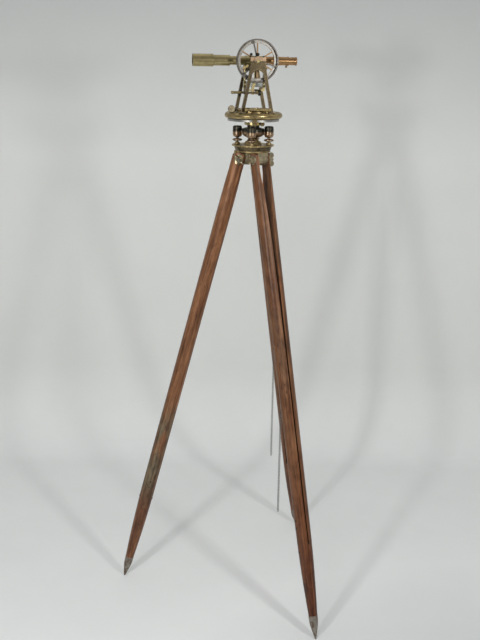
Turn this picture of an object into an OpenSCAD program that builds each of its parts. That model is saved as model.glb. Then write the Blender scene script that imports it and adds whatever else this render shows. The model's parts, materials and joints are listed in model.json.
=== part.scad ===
// Surveyor's transit on a split-leg wooden tripod.
// Millimetres, +Z up, floor at z = 0. The telescope lies along X with its objective towards -X,
// and the vertical circle is on the -Y side. The origin is the middle of the footprint on the floor.

/* [Stance] */
// Distance of each shoe point from the vertical axis
foot_circle_r = 410; // [340:5:450]
// Height of the top of the foot plate above the floor
head_top_z = 1451; // [1350:1:1500]
// Distance of a leg hinge from the vertical axis
hinge_r = 42; // [40:0.5:46]
// Drop from the top of the foot plate to the leg hinges
hinge_drop = 42; // [41:0.5:46]
// Turn of the leg pattern against the telescope
leg_turn = -7.4; // [-20:0.1:20]
// Turn of the levelling head against the telescope
head_turn = -16; // [-20:0.5:20]

/* [Legs] */
// Radius of the turned leg at half height
leg_r = 21.5; // [20:0.1:22]
// Radius of the leg where it enters the shoe
leg_end_r = 13.5; // [13:0.1:15]
// Length over which the leg tapers above the shoe
leg_taper = 265; // [200:5:320]
// Distance from the shoe point to the lower end of the split
split_up = 311; // [250:1:380]
// Gap between the two stiles at the lower end of the split
split_gap = 5; // [3:0.5:7]
// Distance below the hinge over which the split narrows
split_fade = 150; // [110:5:200]
// Outward shift of each stile's centre line at the hinge
stile_shift = 8; // [6:0.5:10]
// Radius of the rounded upper end of a stile
stile_top_r = 20; // [18:0.5:20.5]
// Length of the steel shoe
shoe_len = 76; // [60:1:90]
// Depth of the socket in the shoe
socket_depth = 32; // [20:1:40]
// Radius of the wooden tenon in the shoe
tenon_r = 10.5; // [9.5:0.1:11]
// Radius of the flat at the shoe point
point_r = 2.2; // [1.5:0.1:3]

/* [Tripod head] */
// Width of a hinge lug
lug_w = 34; // [30:0.5:35]
// Radius of the rounded end of a hinge lug
lug_r = 16; // [14:0.5:17]
// Radius of the shoulder ring under the foot plate
ring_r = 52.5; // [48:0.5:54]
// Thickness of the shoulder ring
ring_h = 4; // [3:0.5:5]
// Radius of the hub between the lugs
core_r = 23; // [21:0.5:24]
// Radius of the screw thread that carries the foot plate
thread_r = 44; // [40:0.5:46]
// Radius of the hinge bolts
bolt_r = 4; // [3.5:0.1:5]
// Radius of the round plates on the stiles at the hinge
hinge_plate_r = 14.5; // [12:0.5:17]

/* [Levelling head] */
// Radius of the foot plate
foot_plate_r = 62.5; // [60:0.5:66]
// Thickness of the knurled lip of the foot plate
lip_h = 4; // [3:0.5:5]
// Distance of each levelling screw from the axis
screw_circle_r = 47; // [45:0.5:48]
// Radius of the ball tip of a levelling screw
tip_r = 4; // [3:0.1:4.5]
// Radius of the thumb disc of a levelling screw
disc_r = 14.2; // [12:0.1:15]
// Thickness of the thumb disc
disc_h = 7; // [5:0.5:8]
// Radius of the levelling screw's thread
screw_r = 4.5; // [3.5:0.1:5]
// Radius of the dust caps
cap_r = 13.5; // [11:0.5:14]
// Height of the dust caps
cap_h = 13; // [10:0.5:13.5]
// Radius of the outer ball bush
bush_r = 18; // [16.5:0.5:19]
// Radius of the ball under the spider
ball_r = 12; // [11:0.5:13]
// Radius of the spider's dish between its four arms
dish_r = 33; // [30:0.5:36]
// Turn of the lower clamp screw about the vertical axis
lower_clamp_turn = -62; // [-75:1:-50]

/* [Plates] */
// Distance of the upper plate's rounded edge beyond the lower limb
rim_over = 9; // [7:0.5:12]
// Height of the rounded rim
rim_h = 17; // [14:0.5:18]
// Height of the top of the upper plate above the foot plate
plate_rise = 93; // [92.5:0.5:96]
// Radius of the lower limb
limb_r = 76; // [70:0.5:80]
// Thickness of the lower limb
limb_h = 6; // [4:0.5:6.5]
// Outer radius of the compass box
compass_r = 51; // [46:0.5:52]
// Height of the compass box above the upper plate
compass_h = 10; // [8:0.5:11]
// Length of the compass needle
needle_len = 82; // [60:1:84]
// Turn of the compass needle
needle_turn = 24; // [-180:1:180]
// Turn of the first vernier window about the vertical axis
vernier_turn = 148; // [140:1:156]
// Turn of the plate's clamp screw about the vertical axis
plate_clamp_turn = -97; // [-105:1:-80]
// Length of the level along the near standard
front_level_len = 76; // [64:1:80]
// Length of the level across the plate
side_level_len = 50; // [44:1:54]

/* [Standards] */
// Height of the telescope axis above the upper plate
axis_rise = 145; // [143:0.5:155]
// Distance between the middles of the two standards
standard_gap = 118; // [116:0.5:124]
// Thickness of a standard
standard_t = 10; // [8:0.5:11]
// Distance between the feet of one standard
base_spread = 84; // [76:1:90]
// Width of a standard's leg
strut_w = 9.5; // [8:0.5:11]
// Radius of the arch between a standard's legs
arch_r = 18; // [15:0.5:19]
// Drop from the telescope axis to the centre of the arch
arch_drop = 44; // [40:0.5:46]
// Width of the bearing block
bearing_w = 44; // [38:0.5:46]
// Radius of the axle journals
journal_r = 5; // [4:0.1:6]

/* [Vertical circle] */
// Outer radius of the graduated circle
circle_r = 55.5; // [50:0.5:58]
// Width of the circle's silvered band
band_w = 7; // [5:0.5:9]
// Thickness of the circle
circle_t = 5; // [4:0.5:6]
// Number of spokes in the circle
circle_spokes = 6; // [4:1:8]
// Radial thickness of the guard ring
guard_t = 4; // [2.5:0.1:4.5]
// Drop from the axis to the vertical tangent screw
tangent_drop = 88; // [84:0.5:96]

/* [Telescope] */
// Length from the axis to the objective end of the main tube
front_len = 73; // [66:0.5:78]
// Length from the axis to the eye end of the main tube
back_len = 71; // [66:0.5:76]
// Radius of the main tube
tube_r = 12.25; // [11.5:0.05:12.5]
// Radius of the wide barrel at the objective end
barrel_r = 15; // [14.5:0.1:15.2]
// Length of the wide barrel
barrel_len = 52; // [46:0.5:56]
// Radius of the sunshade
shade_r = 17.5; // [17:0.1:18.5]
// Length of the sunshade
shade_len = 59; // [50:0.5:62]
// Travel of the objective slide in focusing
focus_travel = 20; // [10:1:20]
// Length of the fixed eyepiece sleeve
sleeve_len = 29; // [24:0.5:31]
// Length of the eyepiece that shows behind the sleeve
eyepiece_len = 24; // [18:0.5:25]
// Radius of the eyepiece
eyepiece_r = 10.9; // [9.5:0.1:11]
// Drop from the axis to the telescope's level
level_drop = 66; // [60:0.5:68]
// Radius of the telescope level's glass
vial_r = 8; // [6:0.1:9]
// Length of glass that shows in the telescope's level
vial_len = 50; // [40:1:56]

/* [Chains] */
// Outer radius of a chain ring
link_r = 3.9; // [3.5:0.1:4.5]
// Wire radius of a chain ring
link_wire = 0.65; // [0.5:0.05:0.8]
// Number of rings in the front chain
front_links = 79; // [20:1:90]
// Number of rings in the rear chain
rear_links = 76; // [20:1:90]
// Distance below the hinge of the eye on the front leg
front_eye_down = 690; // [500:5:900]
// Distance below the hinge of the eye on the rear leg
rear_eye_down = 660; // [400:5:800]
// Centre-line radius of a screw eye
eye_r = 3.2; // [3:0.1:4]
// Distance of a screw eye's centre from the leg
eye_reach = 9; // [7:0.5:11]

/* [Fits] */
// Radial clearance of a shaft that turns in its bearing
run_fit = 0.06; // [0.02:0.01:0.1]
// Clearance between parts that pass each other
gap = 0.3; // [0.3:0.05:0.5]

/* [Hidden] */
$fn = 64;

brass = [0.62, 0.52, 0.30];
bright_brass = [0.83, 0.66, 0.33];
copper_brass = [0.80, 0.48, 0.26];
dark_bronze = [0.16, 0.15, 0.13];
silvered = [0.80, 0.80, 0.78];
steel = [0.50, 0.51, 0.52];
wood = [0.45, 0.25, 0.15];
glass = [0.85, 0.90, 0.95];

// Leg geometry
left_turn = 180 + leg_turn;
front_turn = 300 + leg_turn;
rear_turn = 60 + leg_turn;
hinge_z = head_top_z - hinge_drop;
leg_tilt = atan((foot_circle_r - hinge_r) / hinge_z);
leg_len = hinge_z / cos(leg_tilt);
split_down = leg_len - split_up;
shoe_down = leg_len - shoe_len;
stile_lean = atan(stile_shift / shoe_down);
split_top = lug_w + 2 * gap;
hinge_straight = 40;
plumb_bar_z = hinge_z + 2;
plumb_bar_r = 2.2;
head_bore_r = 11;
seat_y = stile_shift + leg_r - 1.5;
washer_r = 9;
hinge_plate_t = 1.2;
hinge_face_y = stile_shift + leg_r + hinge_plate_t + 0.7;
screw_head_r = 3.2;
eye_wire = 1;
link_play = 0.1;
leg_steps = 8;
split_steps = 10;

// The middle of the footprint, so that it can be moved to the origin
foot_x = [for (a = [left_turn, front_turn, rear_turn]) foot_circle_r * cos(a)];
foot_y = [for (a = [left_turn, front_turn, rear_turn]) foot_circle_r * sin(a)];
axis_x = -(min(foot_x) + max(foot_x)) / 2;
axis_y = -(min(foot_y) + max(foot_y)) / 2;

// Heights of the levelling head, from the foot plate up
skirt_h = 13;
ring_top = head_top_z - lip_h - skirt_h;
ring_z = ring_top - ring_h;
shoe_floor = 2;
tip_z = head_top_z + shoe_floor + gap + tip_r;
disc_z = tip_z + 3;
boss_r = 14;
boss_z = disc_z + disc_h + 4.2;
arm_z = boss_z + 15;
arm_top = arm_z + 13;
cap_seat = arm_top - 8;
stem_top = cap_seat + cap_h - 5.5;
neck_r = 18;
limb_spindle_r = 10;
plate_spindle_r = 6;
ball_neck_r = 8;
bush_wall_top = 9;

// Heights of the plates
plate_r = limb_r + rim_over;
plate_top = head_top_z + plate_rise;
rim_z = plate_top - rim_h;
limb_top = rim_z - 1.5;
limb_z = limb_top - limb_h;
clamp_h = 9;
clamp_knob_r = 6.2;
clamp_z = limb_z - clamp_knob_r - 1.1;
neck_top = clamp_z + clamp_h / 2;
compass_top = plate_top + compass_h;
compass_wall = 5;
plate_level_r = 4.8;
level_flange = 0.8;
plate_level_z = plate_top + plate_level_r + 5.6;
plate_level_y = -(standard_gap / 2 + standard_t / 2 + plate_level_r + level_flange + 2 * gap);
front_post_x = front_level_len / 2 - 12;
side_level_x = -(compass_r + plate_level_r + 4.4);
side_level_z = plate_top + plate_level_r + 3;
side_level_y = 24;

// Tangent screws of the plates
small_screw_r = 2.1;
plate_tangent_x = 15 - plate_r;
plate_tangent_y = -32;
plate_tangent_z = plate_top + 10.5;
lower_tangent_y = 42;
tangent_post_x = 15;

// Standards and axle
axis_z = plate_top + axis_rise;
side_y = standard_gap / 2;
inner_y = side_y - standard_t / 2;
outer_y = side_y + standard_t / 2;
bearing_h = 13;
cap_bolt_x = 16.5;
axle_boss_r = arch_r - 5;
axle_hub_r = arch_r - 8.5;
foot_flange_t = 3;
foot_flange_out = 2.8;
oiler_r = 4.4;

// Stations across the near half of the axle, as distances from the telescope's middle
guard_y = inner_y;
guard_plate_t = 2.6;
circle_y = guard_y - guard_plate_t - 3.2;
collar_y = circle_y - circle_t - 3;
collar_t = 8;
arm_y = collar_y - collar_t / 2;
collar_bore = 9;
collar_r = 14;
hub_axle_r = 8;
guard_in = circle_r + 0.9;
guard_out = guard_in + guard_t;
vernier_foot = 20;
vernier_t = 1.8;

// Vertical slow motion
arm_tip_x = -10;
arm_tip_w = 7.4;
arm_bend = tangent_drop - 11;
tangent_r = 2.5;
plunger_r = 2;
spring_r = 3.6;
spring_end = 66;
tangent_boss = 6;
tangent_knob_r = 8.6;
touch = 0.12;

// Telescope
front_end = front_len + barrel_len;
head_r = shade_r - 1.95;
slide_r = tube_r - 1.3;
shade_front = front_end + shade_len - 4;
head_front = shade_front - 30;
back_end = back_len + sleeve_len;
sleeve_r = tube_r - 0.35;
focus_x = -34;
focus_y = 27;
lens_r = head_r - 2.95;
eye_lens_r = 8;

// Places a piece about the vertical axis
module at_axis() {
    translate([axis_x, axis_y, 0]) children();
}

// Places a piece with the telescope axis's crossing as its origin
module at_scope() {
    translate([axis_x, axis_y, axis_z]) children();
}

// A leg's own frame: origin on its hinge, X away from the axis, Z up along the leg
module leg_frame(turn) {
    at_axis() rotate([0, 0, turn]) translate([hinge_r, 0, hinge_z]) rotate([0, -leg_tilt, 0]) children();
}

// A cylinder along Y between two stations
module rod_y(r, y0, y1) {
    translate([0, y0, 0]) rotate([-90, 0, 0]) cylinder(r = r, h = y1 - y0);
}

// A cylinder along X between two stations
module rod_x(r, x0, x1) {
    translate([x0, 0, 0]) rotate([0, 90, 0]) cylinder(r = r, h = x1 - x0);
}

// A knob turned about Z: a grooved disc with rounded corners
module knob(r, h) {
    soft = min(1, h / 5);
    rotate_extrude() polygon([[0, 0], [r - soft, 0], [r, soft], [r, h - soft], [r - soft, h],
        [r * 0.55, h], [r * 0.5, h + soft], [0, h + soft]]);
}

// Half of the gap between the stiles at a distance below the hinge
function half_split(down) = down < hinge_straight ? split_top / 2
    : split_gap / 2 + (split_top - split_gap) / 2 * exp(-(down - hinge_straight) / split_fade);

// Radius of the turned leg at a distance above the shoe
function turned_r(up) = leg_r - (leg_r - leg_end_r) * pow(max(0, 1 - up / leg_taper), 2);

// The turned leg before it is split, standing on Z = -shoe_down
module turned_leg() {
    rise = [for (i = [0:leg_steps]) leg_taper * i / leg_steps];
    translate([0, 0, -shoe_down]) rotate_extrude() polygon(concat(
        [[0, -socket_depth], [tenon_r, -socket_depth], [tenon_r, 0]],
        [for (u = rise) [turned_r(u), u]],
        [[leg_r, shoe_down + stile_top_r], [0, shoe_down + stile_top_r]]));
}

// What is left of one side of the leg once the split is sawn
module stile_side() {
    sawn = split_down - hinge_straight;
    downs = [for (i = [0:split_steps]) hinge_straight + sawn * pow(i / split_steps, 1.8)];
    wide = 2 * leg_r;
    translate([-wide, 0, 0]) rotate([90, 0, 90]) linear_extrude(2 * wide) polygon(concat(
        [[half_split(0), 2 * stile_top_r]],
        [for (d = downs) [half_split(d), -d]],
        [[split_gap / 2, -split_down - 8], [0, -split_down - 12], [0, -leg_len], [wide, -leg_len],
         [wide, 2 * stile_top_r]]));
}

// Leans a stile outwards about the lower end of its leg
module lean() {
    translate([0, 0, -shoe_down]) rotate([-stile_lean, 0, 0]) translate([0, 0, shoe_down]) children();
}

// One stile, on the +Y side of its leg, with a flat seat for the hinge bolt and holes for the screws
module stile(eye_down) {
    difference() {
        intersection() {
            lean() turned_leg();
            stile_side();
            union() {
                rod_y(stile_top_r, 0, 2 * leg_r);
                translate([-2 * leg_r, 0, -leg_len]) cube([4 * leg_r, 2 * leg_r, leg_len]);
            }
        }
        rod_y(bolt_r + run_fit, 0, 2 * leg_r);
        rod_y(washer_r, seat_y, 2 * leg_r);
        leg_screws();
        if (eye_down > 0) eye_plug(eye_down);
    }
}

module leg_stile(turn, side, eye_down) {
    color(wood) leg_frame(turn) mirror([0, side, 0]) stile(eye_down);
}

// Pointed steel shoe with a socket for the end of the leg, cut flat where it meets the floor
module leg_shoe(turn) {
    collar = leg_end_r + 0.6;
    color(steel) difference() {
        leg_frame(turn) translate([0, 0, -leg_len]) rotate_extrude() polygon([
            [0, -1], [point_r, -1], [point_r + 0.8, 3], [5.2, 18], [8.2, 34], [9.6, 40], [collar - 1.6, 44],
            [collar - 1, 66], [collar, 67], [collar, shoe_len - 1], [collar - 1, shoe_len],
            [tenon_r, shoe_len], [tenon_r, shoe_len - socket_depth], [0, shoe_len - socket_depth]]);
        translate([-2000, -2000, -50]) cube([4000, 4000, 50]);
    }
}

// Distance of a stile's outer face from the leg's middle, at a distance below the hinge
function stile_outer(down) = turned_r(shoe_down - down) + (shoe_down - down) * tan(stile_lean);

// Heads of the wood screws round the lower end of the split
module leg_screws() {
    for (down = [split_down - 62, split_down - 40, split_down + 34], side = [-1, 1])
        translate([0, side * stile_outer(down), -down]) rod_y(screw_head_r, -1.6, 0.4);
}

// Hinge bolt with its plates and wing nut, the plate at the end of the split, and the leg's screws
module leg_fittings(turn, eye_down, wing_turn) {
    color(dark_bronze) leg_frame(turn) {
        rod_y(bolt_r, -hinge_face_y - 1, hinge_face_y + 13);
        for (side = [0, 1]) mirror([0, side, 0]) hinge_plate();
        mirror([0, 1, 0]) translate([0, hinge_face_y, 0]) rotate([-90, 0, 0]) bolt_head();
        translate([0, hinge_face_y, 0]) rotate([0, wing_turn, 0]) wing_nut();
        translate([0, 0, -split_down - 7.4]) stay_plate();
        leg_screws();
        if (eye_down > 0) leg_eye(eye_down);
    }
}

// Round plate that hugs a stile's outer face, with a flat boss for the bolt
module hinge_plate() {
    difference() {
        intersection() {
            rod_y(hinge_plate_r, leg_r / 2, 2 * leg_r);
            lean() translate([0, 0, -2 * leg_r]) cylinder(r = leg_r + hinge_plate_t, h = 4 * leg_r);
        }
        lean() turned_leg();
    }
    rod_y(washer_r, seat_y, hinge_face_y);
}

// Domed square head of the hinge bolt
module bolt_head() {
    intersection() {
        translate([-6.5, -6.5, -0.5]) cube([13, 13, 6]);
        translate([0, 0, -9]) sphere(r = 14);
    }
}

// Wing nut along Y, its two wings rising outwards from the hub
module wing_nut() {
    rotate([-90, 0, 0]) rotate_extrude() polygon([[0, -0.5], [8, -0.5], [8, 1.5], [6.2, 5], [5.6, 9], [4.8, 10],
        [0, 10]]);
    for (side = [-1, 1]) intersection() {
        translate([side * 12, 7, -1.6]) cylinder(r = 8.6, h = 3.2);
        translate([side * 12 - 10, 1, -2]) cube([20, 15, 4]);
    }
}

module stay_plate() {
    translate([-leg_r - 1, -split_gap / 2, 0]) cube([2 * leg_r + 2, split_gap, 3]);
}

// Plug between the stiles that holds a screw eye
module eye_plug(down) {
    translate([-leg_r, 0, -down]) rod_x(4, -0.8, 6);
}

// Screw eye on the inner face of the leg, from which a chain hangs
module leg_eye(down) {
    eye_plug(down);
    translate([-leg_r, 0, -down]) {
        rod_x(1.2, -eye_reach + eye_r + 0.5, 0);
        translate([-eye_reach, 0, 0]) rotate([0, leg_tilt, 0]) rotate([90, 0, 0]) rotate_extrude()
            translate([eye_r, 0]) circle(r = eye_wire, $fn = 24);
    }
}

// Place of a screw eye's centre, as its distance from the vertical axis and its height
function eye_out(down) = hinge_r + down * sin(leg_tilt) - (leg_r + eye_reach) * cos(leg_tilt);
function eye_height(down) = hinge_z - down * cos(leg_tilt) - (leg_r + eye_reach) * sin(leg_tilt);

// Chain of round rings, each turned a quarter turn from the last, hanging straight down from its eye
module chain(turn, down, count) {
    inner = link_r - 2 * link_wire;
    pitch = 2 * inner - link_play;
    first = eye_r - eye_wire + inner - link_play;
    color(steel) at_axis() rotate([0, 0, turn]) translate([eye_out(down), 0, eye_height(down) - first])
        for (i = [0:count - 1]) translate([0, 0, -i * pitch]) rotate([0, 0, 90 * i]) rotate([0, 90, 0])
            rotate_extrude() translate([link_r - link_wire, 0]) circle(r = link_wire, $fn = 16);
}

// Cast head: a threaded top, a shoulder ring and three lugs
module tripod_head() {
    color(brass) at_axis() difference() {
        union() {
            translate([0, 0, ring_z]) cylinder(r = ring_r, h = ring_h);
            translate([0, 0, ring_top]) cylinder(r = thread_r, h = skirt_h - 2);
            translate([0, 0, ring_z - 8]) cylinder(r1 = core_r, r2 = ring_r - 8, h = 8);
            translate([0, 0, hinge_z - lug_r]) cylinder(r = core_r, h = ring_z - hinge_z + lug_r);
            for (a = [left_turn, front_turn, rear_turn]) rotate([0, 0, a]) head_lug();
        }
        for (a = [left_turn, front_turn, rear_turn]) rotate([0, 0, a]) translate([hinge_r, 0, hinge_z])
            rod_y(bolt_r + run_fit, -lug_w, lug_w);
        translate([0, 0, hinge_z - lug_r - 1]) cylinder(r = head_bore_r, h = head_top_z);
        translate([0, 0, plumb_bar_z]) rod_x(plumb_bar_r + run_fit, -14.2, 14.2);
    }
}

module head_lug() {
    translate([hinge_r, 0, hinge_z]) rod_y(lug_r, -lug_w / 2, lug_w / 2);
    translate([0, -lug_w / 2, hinge_z]) cube([hinge_r + lug_r - 2, lug_w, ring_z - hinge_z + 1]);
    translate([0, -lug_w / 2, hinge_z - lug_r]) cube([hinge_r, lug_w, lug_r + 1]);
}

// Cross bar in the head's bore with an eye for a plumb line
module plumb_hook() {
    color(bright_brass) at_axis() translate([0, 0, plumb_bar_z]) difference() {
        union() {
            rod_x(plumb_bar_r, -14, 14);
            translate([0, 0, -26]) cylinder(r = 2, h = 27);
            translate([0, 0, -31]) rod_y(6, -1.5, 1.5);
        }
        translate([0, 0, -31]) rod_y(3, -5, 5);
    }
}

// Foot plate that screws on the tripod head, with the socket for the ball joint
module foot_plate() {
    color(brass) at_axis() difference() {
        union() {
            translate([0, 0, head_top_z - lip_h]) knurled_lip();
            translate([0, 0, ring_top]) cylinder(r1 = ring_r - 0.5, r2 = foot_plate_r - 6, h = skirt_h);
            translate([0, 0, head_top_z]) cylinder(r1 = bush_r + 10, r2 = bush_r + 4, h = bush_wall_top);
        }
        translate([0, 0, ring_top - 1]) cylinder(r = thread_r + run_fit, h = skirt_h - 0.7);
        translate([0, 0, tip_z]) sphere(r = bush_r + run_fit, $fn = 96);
        translate([0, 0, ring_top - 1]) cylinder(r = 12, h = skirt_h + 4);
    }
}

module knurled_lip() {
    difference() {
        cylinder(r = foot_plate_r, h = lip_h);
        for (i = [0:35]) rotate([0, 0, i * 10]) translate([foot_plate_r + 0.6, 0, -1])
            cylinder(r = 1.4, h = lip_h + 2);
    }
}

// The four cups in which the levelling screws stand
module leveling_shoes() {
    color(bright_brass) at_axis() for (i = [0:3]) rotate([0, 0, head_turn + 90 * i])
        translate([screw_circle_r, 0, head_top_z]) difference() {
            cylinder(r1 = 8.5, r2 = 7, h = tip_z - head_top_z);
            translate([0, 0, tip_z - head_top_z]) sphere(r = tip_r + gap, $fn = 48);
        }
}

// Levelling screw: ball tip, thumb disc and threaded stem
module leveling_screw(turn) {
    color(bright_brass) at_axis() rotate([0, 0, head_turn + turn]) translate([screw_circle_r, 0, 0]) {
        translate([0, 0, tip_z]) sphere(r = tip_r, $fn = 48);
        translate([0, 0, tip_z]) cylinder(r = tip_r - 1, h = disc_z - tip_z + 1);
        translate([0, 0, disc_z]) thumb_disc();
        translate([0, 0, disc_z + disc_h - 1]) cylinder(r = screw_r, h = stem_top - disc_z - disc_h + 1);
    }
}

module thumb_disc() {
    rim = 1.8;
    rotate_extrude() polygon([[0, 0], [disc_r - 4, 0], [disc_r - 1, rim - 0.4], [disc_r, rim],
        [disc_r, disc_h - rim], [disc_r - 1, disc_h - rim + 0.4], [disc_r - 4, disc_h], [0, disc_h]]);
}

// Bush between the foot plate and the spider's ball, so that the head can tilt both ways
module ball_bush() {
    color(bright_brass) at_axis() translate([0, 0, tip_z]) difference() {
        intersection() {
            sphere(r = bush_r, $fn = 96);
            translate([0, 0, -7]) cylinder(r = bush_r + 5, h = 18.5);
        }
        sphere(r = ball_r + run_fit, $fn = 96);
        cylinder(r = ball_neck_r + 2, h = bush_r + 1);
    }
}

// Spider: four arms with bosses, the socket of the centres and the ball below
module spider() {
    color(brass) at_axis() difference() {
        union() {
            translate([0, 0, tip_z]) sphere(r = ball_r, $fn = 96);
            translate([0, 0, tip_z]) cylinder(r = ball_neck_r, h = boss_z - tip_z);
            spider_dish();
            translate([0, 0, arm_top]) cylinder(r = neck_r, h = neck_top - arm_top);
            for (i = [0:3]) rotate([0, 0, head_turn + 90 * i]) spider_arm();
        }
        translate([0, 0, boss_z + 6]) cylinder(r = limb_spindle_r + run_fit, h = neck_top);
        for (i = [0:3]) rotate([0, 0, head_turn + 90 * i]) translate([screw_circle_r, 0, 0]) {
            translate([0, 0, boss_z - 1]) cylinder(r = screw_r + run_fit, h = 60);
            translate([0, 0, cap_seat]) cylinder(r = cap_r + 0.1, h = 40);
        }
    }
}

// Round dish that joins the spider's arms
module spider_dish() {
    low_r = 15;
    deep = arm_z - boss_z;
    rotate_extrude() polygon(concat(
        [[0, boss_z]],
        [for (i = [0:6]) [low_r + (dish_r - low_r) * sin(i * 15), arm_z - deep * cos(i * 15)]],
        [[dish_r, arm_top - 4], [dish_r - 2, arm_top - 2], [neck_r + 5, arm_top], [0, arm_top]]));
}

// One arm of the spider, with a bowl-shaped boss round the levelling screw
module spider_arm() {
    translate([18, -7, arm_z]) cube([screw_circle_r - 18, 14, cap_seat - arm_z]);
    translate([12, -5, arm_z - 8]) cube([screw_circle_r - 14, 10, 9]);
    translate([screw_circle_r, 0, boss_z]) rotate_extrude() polygon(concat([[0, 0]],
        [for (i = [0:6]) [7 + (boss_r - 7) * sin(i * 15), 9 - 9 * cos(i * 15)]],
        [[boss_r, arm_z - boss_z + 4], [0, arm_z - boss_z + 4]]));
    translate([screw_circle_r, 0, arm_z]) cylinder(r = boss_r, h = cap_seat - arm_z);
}

// Dust caps over the upper ends of the levelling screws
module dust_caps() {
    color(dark_bronze) at_axis() for (i = [0:3]) rotate([0, 0, head_turn + 90 * i])
        translate([screw_circle_r, 0, cap_seat]) difference() {
            rotate_extrude() polygon([[0, 0], [cap_r - 0.6, 0], [cap_r, 0.6], [cap_r, cap_h - 3],
                [cap_r - 1.5, cap_h - 1], [cap_r - 4, cap_h], [0, cap_h]]);
            translate([0, 0, -1]) cylinder(r = screw_r + 0.8, h = cap_h - 1);
        }
}

// Clamp collar on the spider's neck, with the arm that the lower tangent screw pushes
module lower_clamp() {
    color(brass) at_axis() difference() {
        union() {
            translate([0, 0, clamp_z - clamp_h / 2]) cylinder(r = 26, h = clamp_h);
            translate([-3, 20, clamp_z - 4]) cube([6, lower_tangent_y - 16, 8]);
            rotate([0, 0, lower_clamp_turn]) translate([20, -5, clamp_z - 4.5]) cube([15, 10, 9]);
        }
        translate([0, 0, clamp_z - clamp_h]) cylinder(r = neck_r + run_fit, h = 2 * clamp_h);
        rotate([0, 0, lower_clamp_turn]) translate([neck_r + 1, 0, clamp_z])
            rod_x(small_screw_r + run_fit, 0, 20);
    }
}

module lower_clamp_screw() {
    color(bright_brass) at_axis() rotate([0, 0, lower_clamp_turn]) translate([0, 0, clamp_z]) {
        rod_x(small_screw_r, neck_r + 2, 40);
        translate([39, 0, 0]) rotate([0, 90, 0]) knob(clamp_knob_r, 8);
    }
}

module lower_tangent_screw() {
    color(bright_brass) at_axis() translate([0, lower_tangent_y, clamp_z]) {
        rod_x(small_screw_r, 3.4, 26);
        translate([25, 0, 0]) rotate([0, 90, 0]) knob(clamp_knob_r, 8);
    }
}

// Lower limb: the graduated plate on its hollow spindle
module lower_limb() {
    color(silvered) at_axis() difference() {
        union() {
            translate([0, 0, limb_z]) cylinder(r = limb_r, h = limb_h);
            translate([0, 0, neck_top + gap]) cylinder(r = 26, h = limb_z - neck_top);
            translate([0, 0, boss_z + 8]) cylinder(r = limb_spindle_r, h = limb_z - boss_z - 7);
            for (side = [-1, 1]) translate([side * tangent_post_x - 4, lower_tangent_y - 5, clamp_z - 4])
                cube([8, 10, limb_z - clamp_z + 5]);
        }
        translate([0, 0, boss_z + 7]) cylinder(r = plate_spindle_r + run_fit, h = limb_top - boss_z);
        translate([0, lower_tangent_y, clamp_z]) {
            rod_x(small_screw_r + run_fit, tangent_post_x - 10, tangent_post_x + 10);
            rod_x(small_screw_r, -tangent_post_x - 10, -tangent_post_x + 7);
        }
    }
}

// Upper plate with its rounded rim, two vernier windows and the inner spindle
module vernier_plate() {
    soft = rim_h / 2;
    color(brass) at_axis() difference() {
        union() {
            rotate_extrude() polygon(concat(
                [[0, limb_top + gap], [16, limb_top + gap], [16, plate_top - 5], [limb_r - 10, plate_top - 5],
                 [limb_r - 6, rim_z], [plate_r - soft, rim_z]],
                [for (i = [1:11]) [plate_r - soft + soft * sin(i * 15), rim_z + soft - soft * cos(i * 15)]],
                [[plate_r - soft, plate_top], [0, plate_top]]));
            translate([0, 0, boss_z + 9]) cylinder(r = plate_spindle_r, h = limb_top - boss_z);
            clamp_bracket();
            tangent_posts();
        }
        for (a = [vernier_turn, vernier_turn + 180]) rotate([0, 0, a]) vernier_window();
        rotate([0, 0, plate_clamp_turn]) translate([limb_r + 5, 0, limb_z - 2])
            rod_x(small_screw_r + run_fit, -20, 20);
        translate([plate_tangent_x, plate_tangent_y, plate_tangent_z]) rod_y(small_screw_r + run_fit, 0, 34);
    }
}

// Two posts on the plate that carry its tangent screw
module tangent_posts() {
    post_w = 7;
    for (y = [10, 28]) translate([plate_tangent_x, plate_tangent_y + y, 0]) {
        translate([-post_w / 2, 0, plate_top - 1]) cube([post_w, post_w, plate_tangent_z - plate_top + 1]);
        translate([0, 0, plate_tangent_z]) rod_y(post_w / 2, 0, post_w);
    }
}

module vernier_window() {
    rotate([0, 0, -13]) rotate_extrude(angle = 26) translate([limb_r - 12, plate_top - 3]) square([11, 6]);
}

// Block under the rim that carries the plate's clamp screw
module clamp_bracket() {
    rotate([0, 0, plate_clamp_turn]) translate([limb_r + gap, -6, limb_z - 7])
        cube([5, 12, rim_z - limb_z + 8]);
}

module plate_clamp_screw() {
    color(bright_brass) at_axis() rotate([0, 0, plate_clamp_turn]) translate([limb_r, 0, limb_z - 2]) {
        rod_x(small_screw_r, 1.5, 9);
        translate([8, 0, 0]) rotate([0, 90, 0]) knob(7, 7);
    }
}

// Tangent screw of the upper plate, in two posts on the rim
module plate_tangent_screw() {
    color(steel) at_axis() translate([plate_tangent_x, plate_tangent_y, plate_tangent_z]) {
        rod_y(small_screw_r, 4, 34);
        translate([0, 5, 0]) rotate([90, 0, 0]) knob(10, 6.5);
    }
}

// Compass box with its ring, floor and pivot
module compass_box() {
    inner = compass_r - compass_wall;
    color(bright_brass) at_axis() translate([0, 0, plate_top]) {
        rotate_extrude() polygon([[0, 0], [compass_r + 2, 0], [compass_r + 2, 2], [compass_r, 3.2],
            [compass_r, compass_h - 1.4], [compass_r - 1.4, compass_h], [inner + 1.5, compass_h],
            [inner + 1.5, compass_h - 3], [inner, compass_h - 3], [inner, 2], [0, 2]]);
        translate([0, 0, 1]) cylinder(r1 = 5, r2 = 2, h = 2.5);
        translate([0, 0, 3]) cylinder(r1 = 1.4, r2 = 0.5, h = 2);
    }
}

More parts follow.
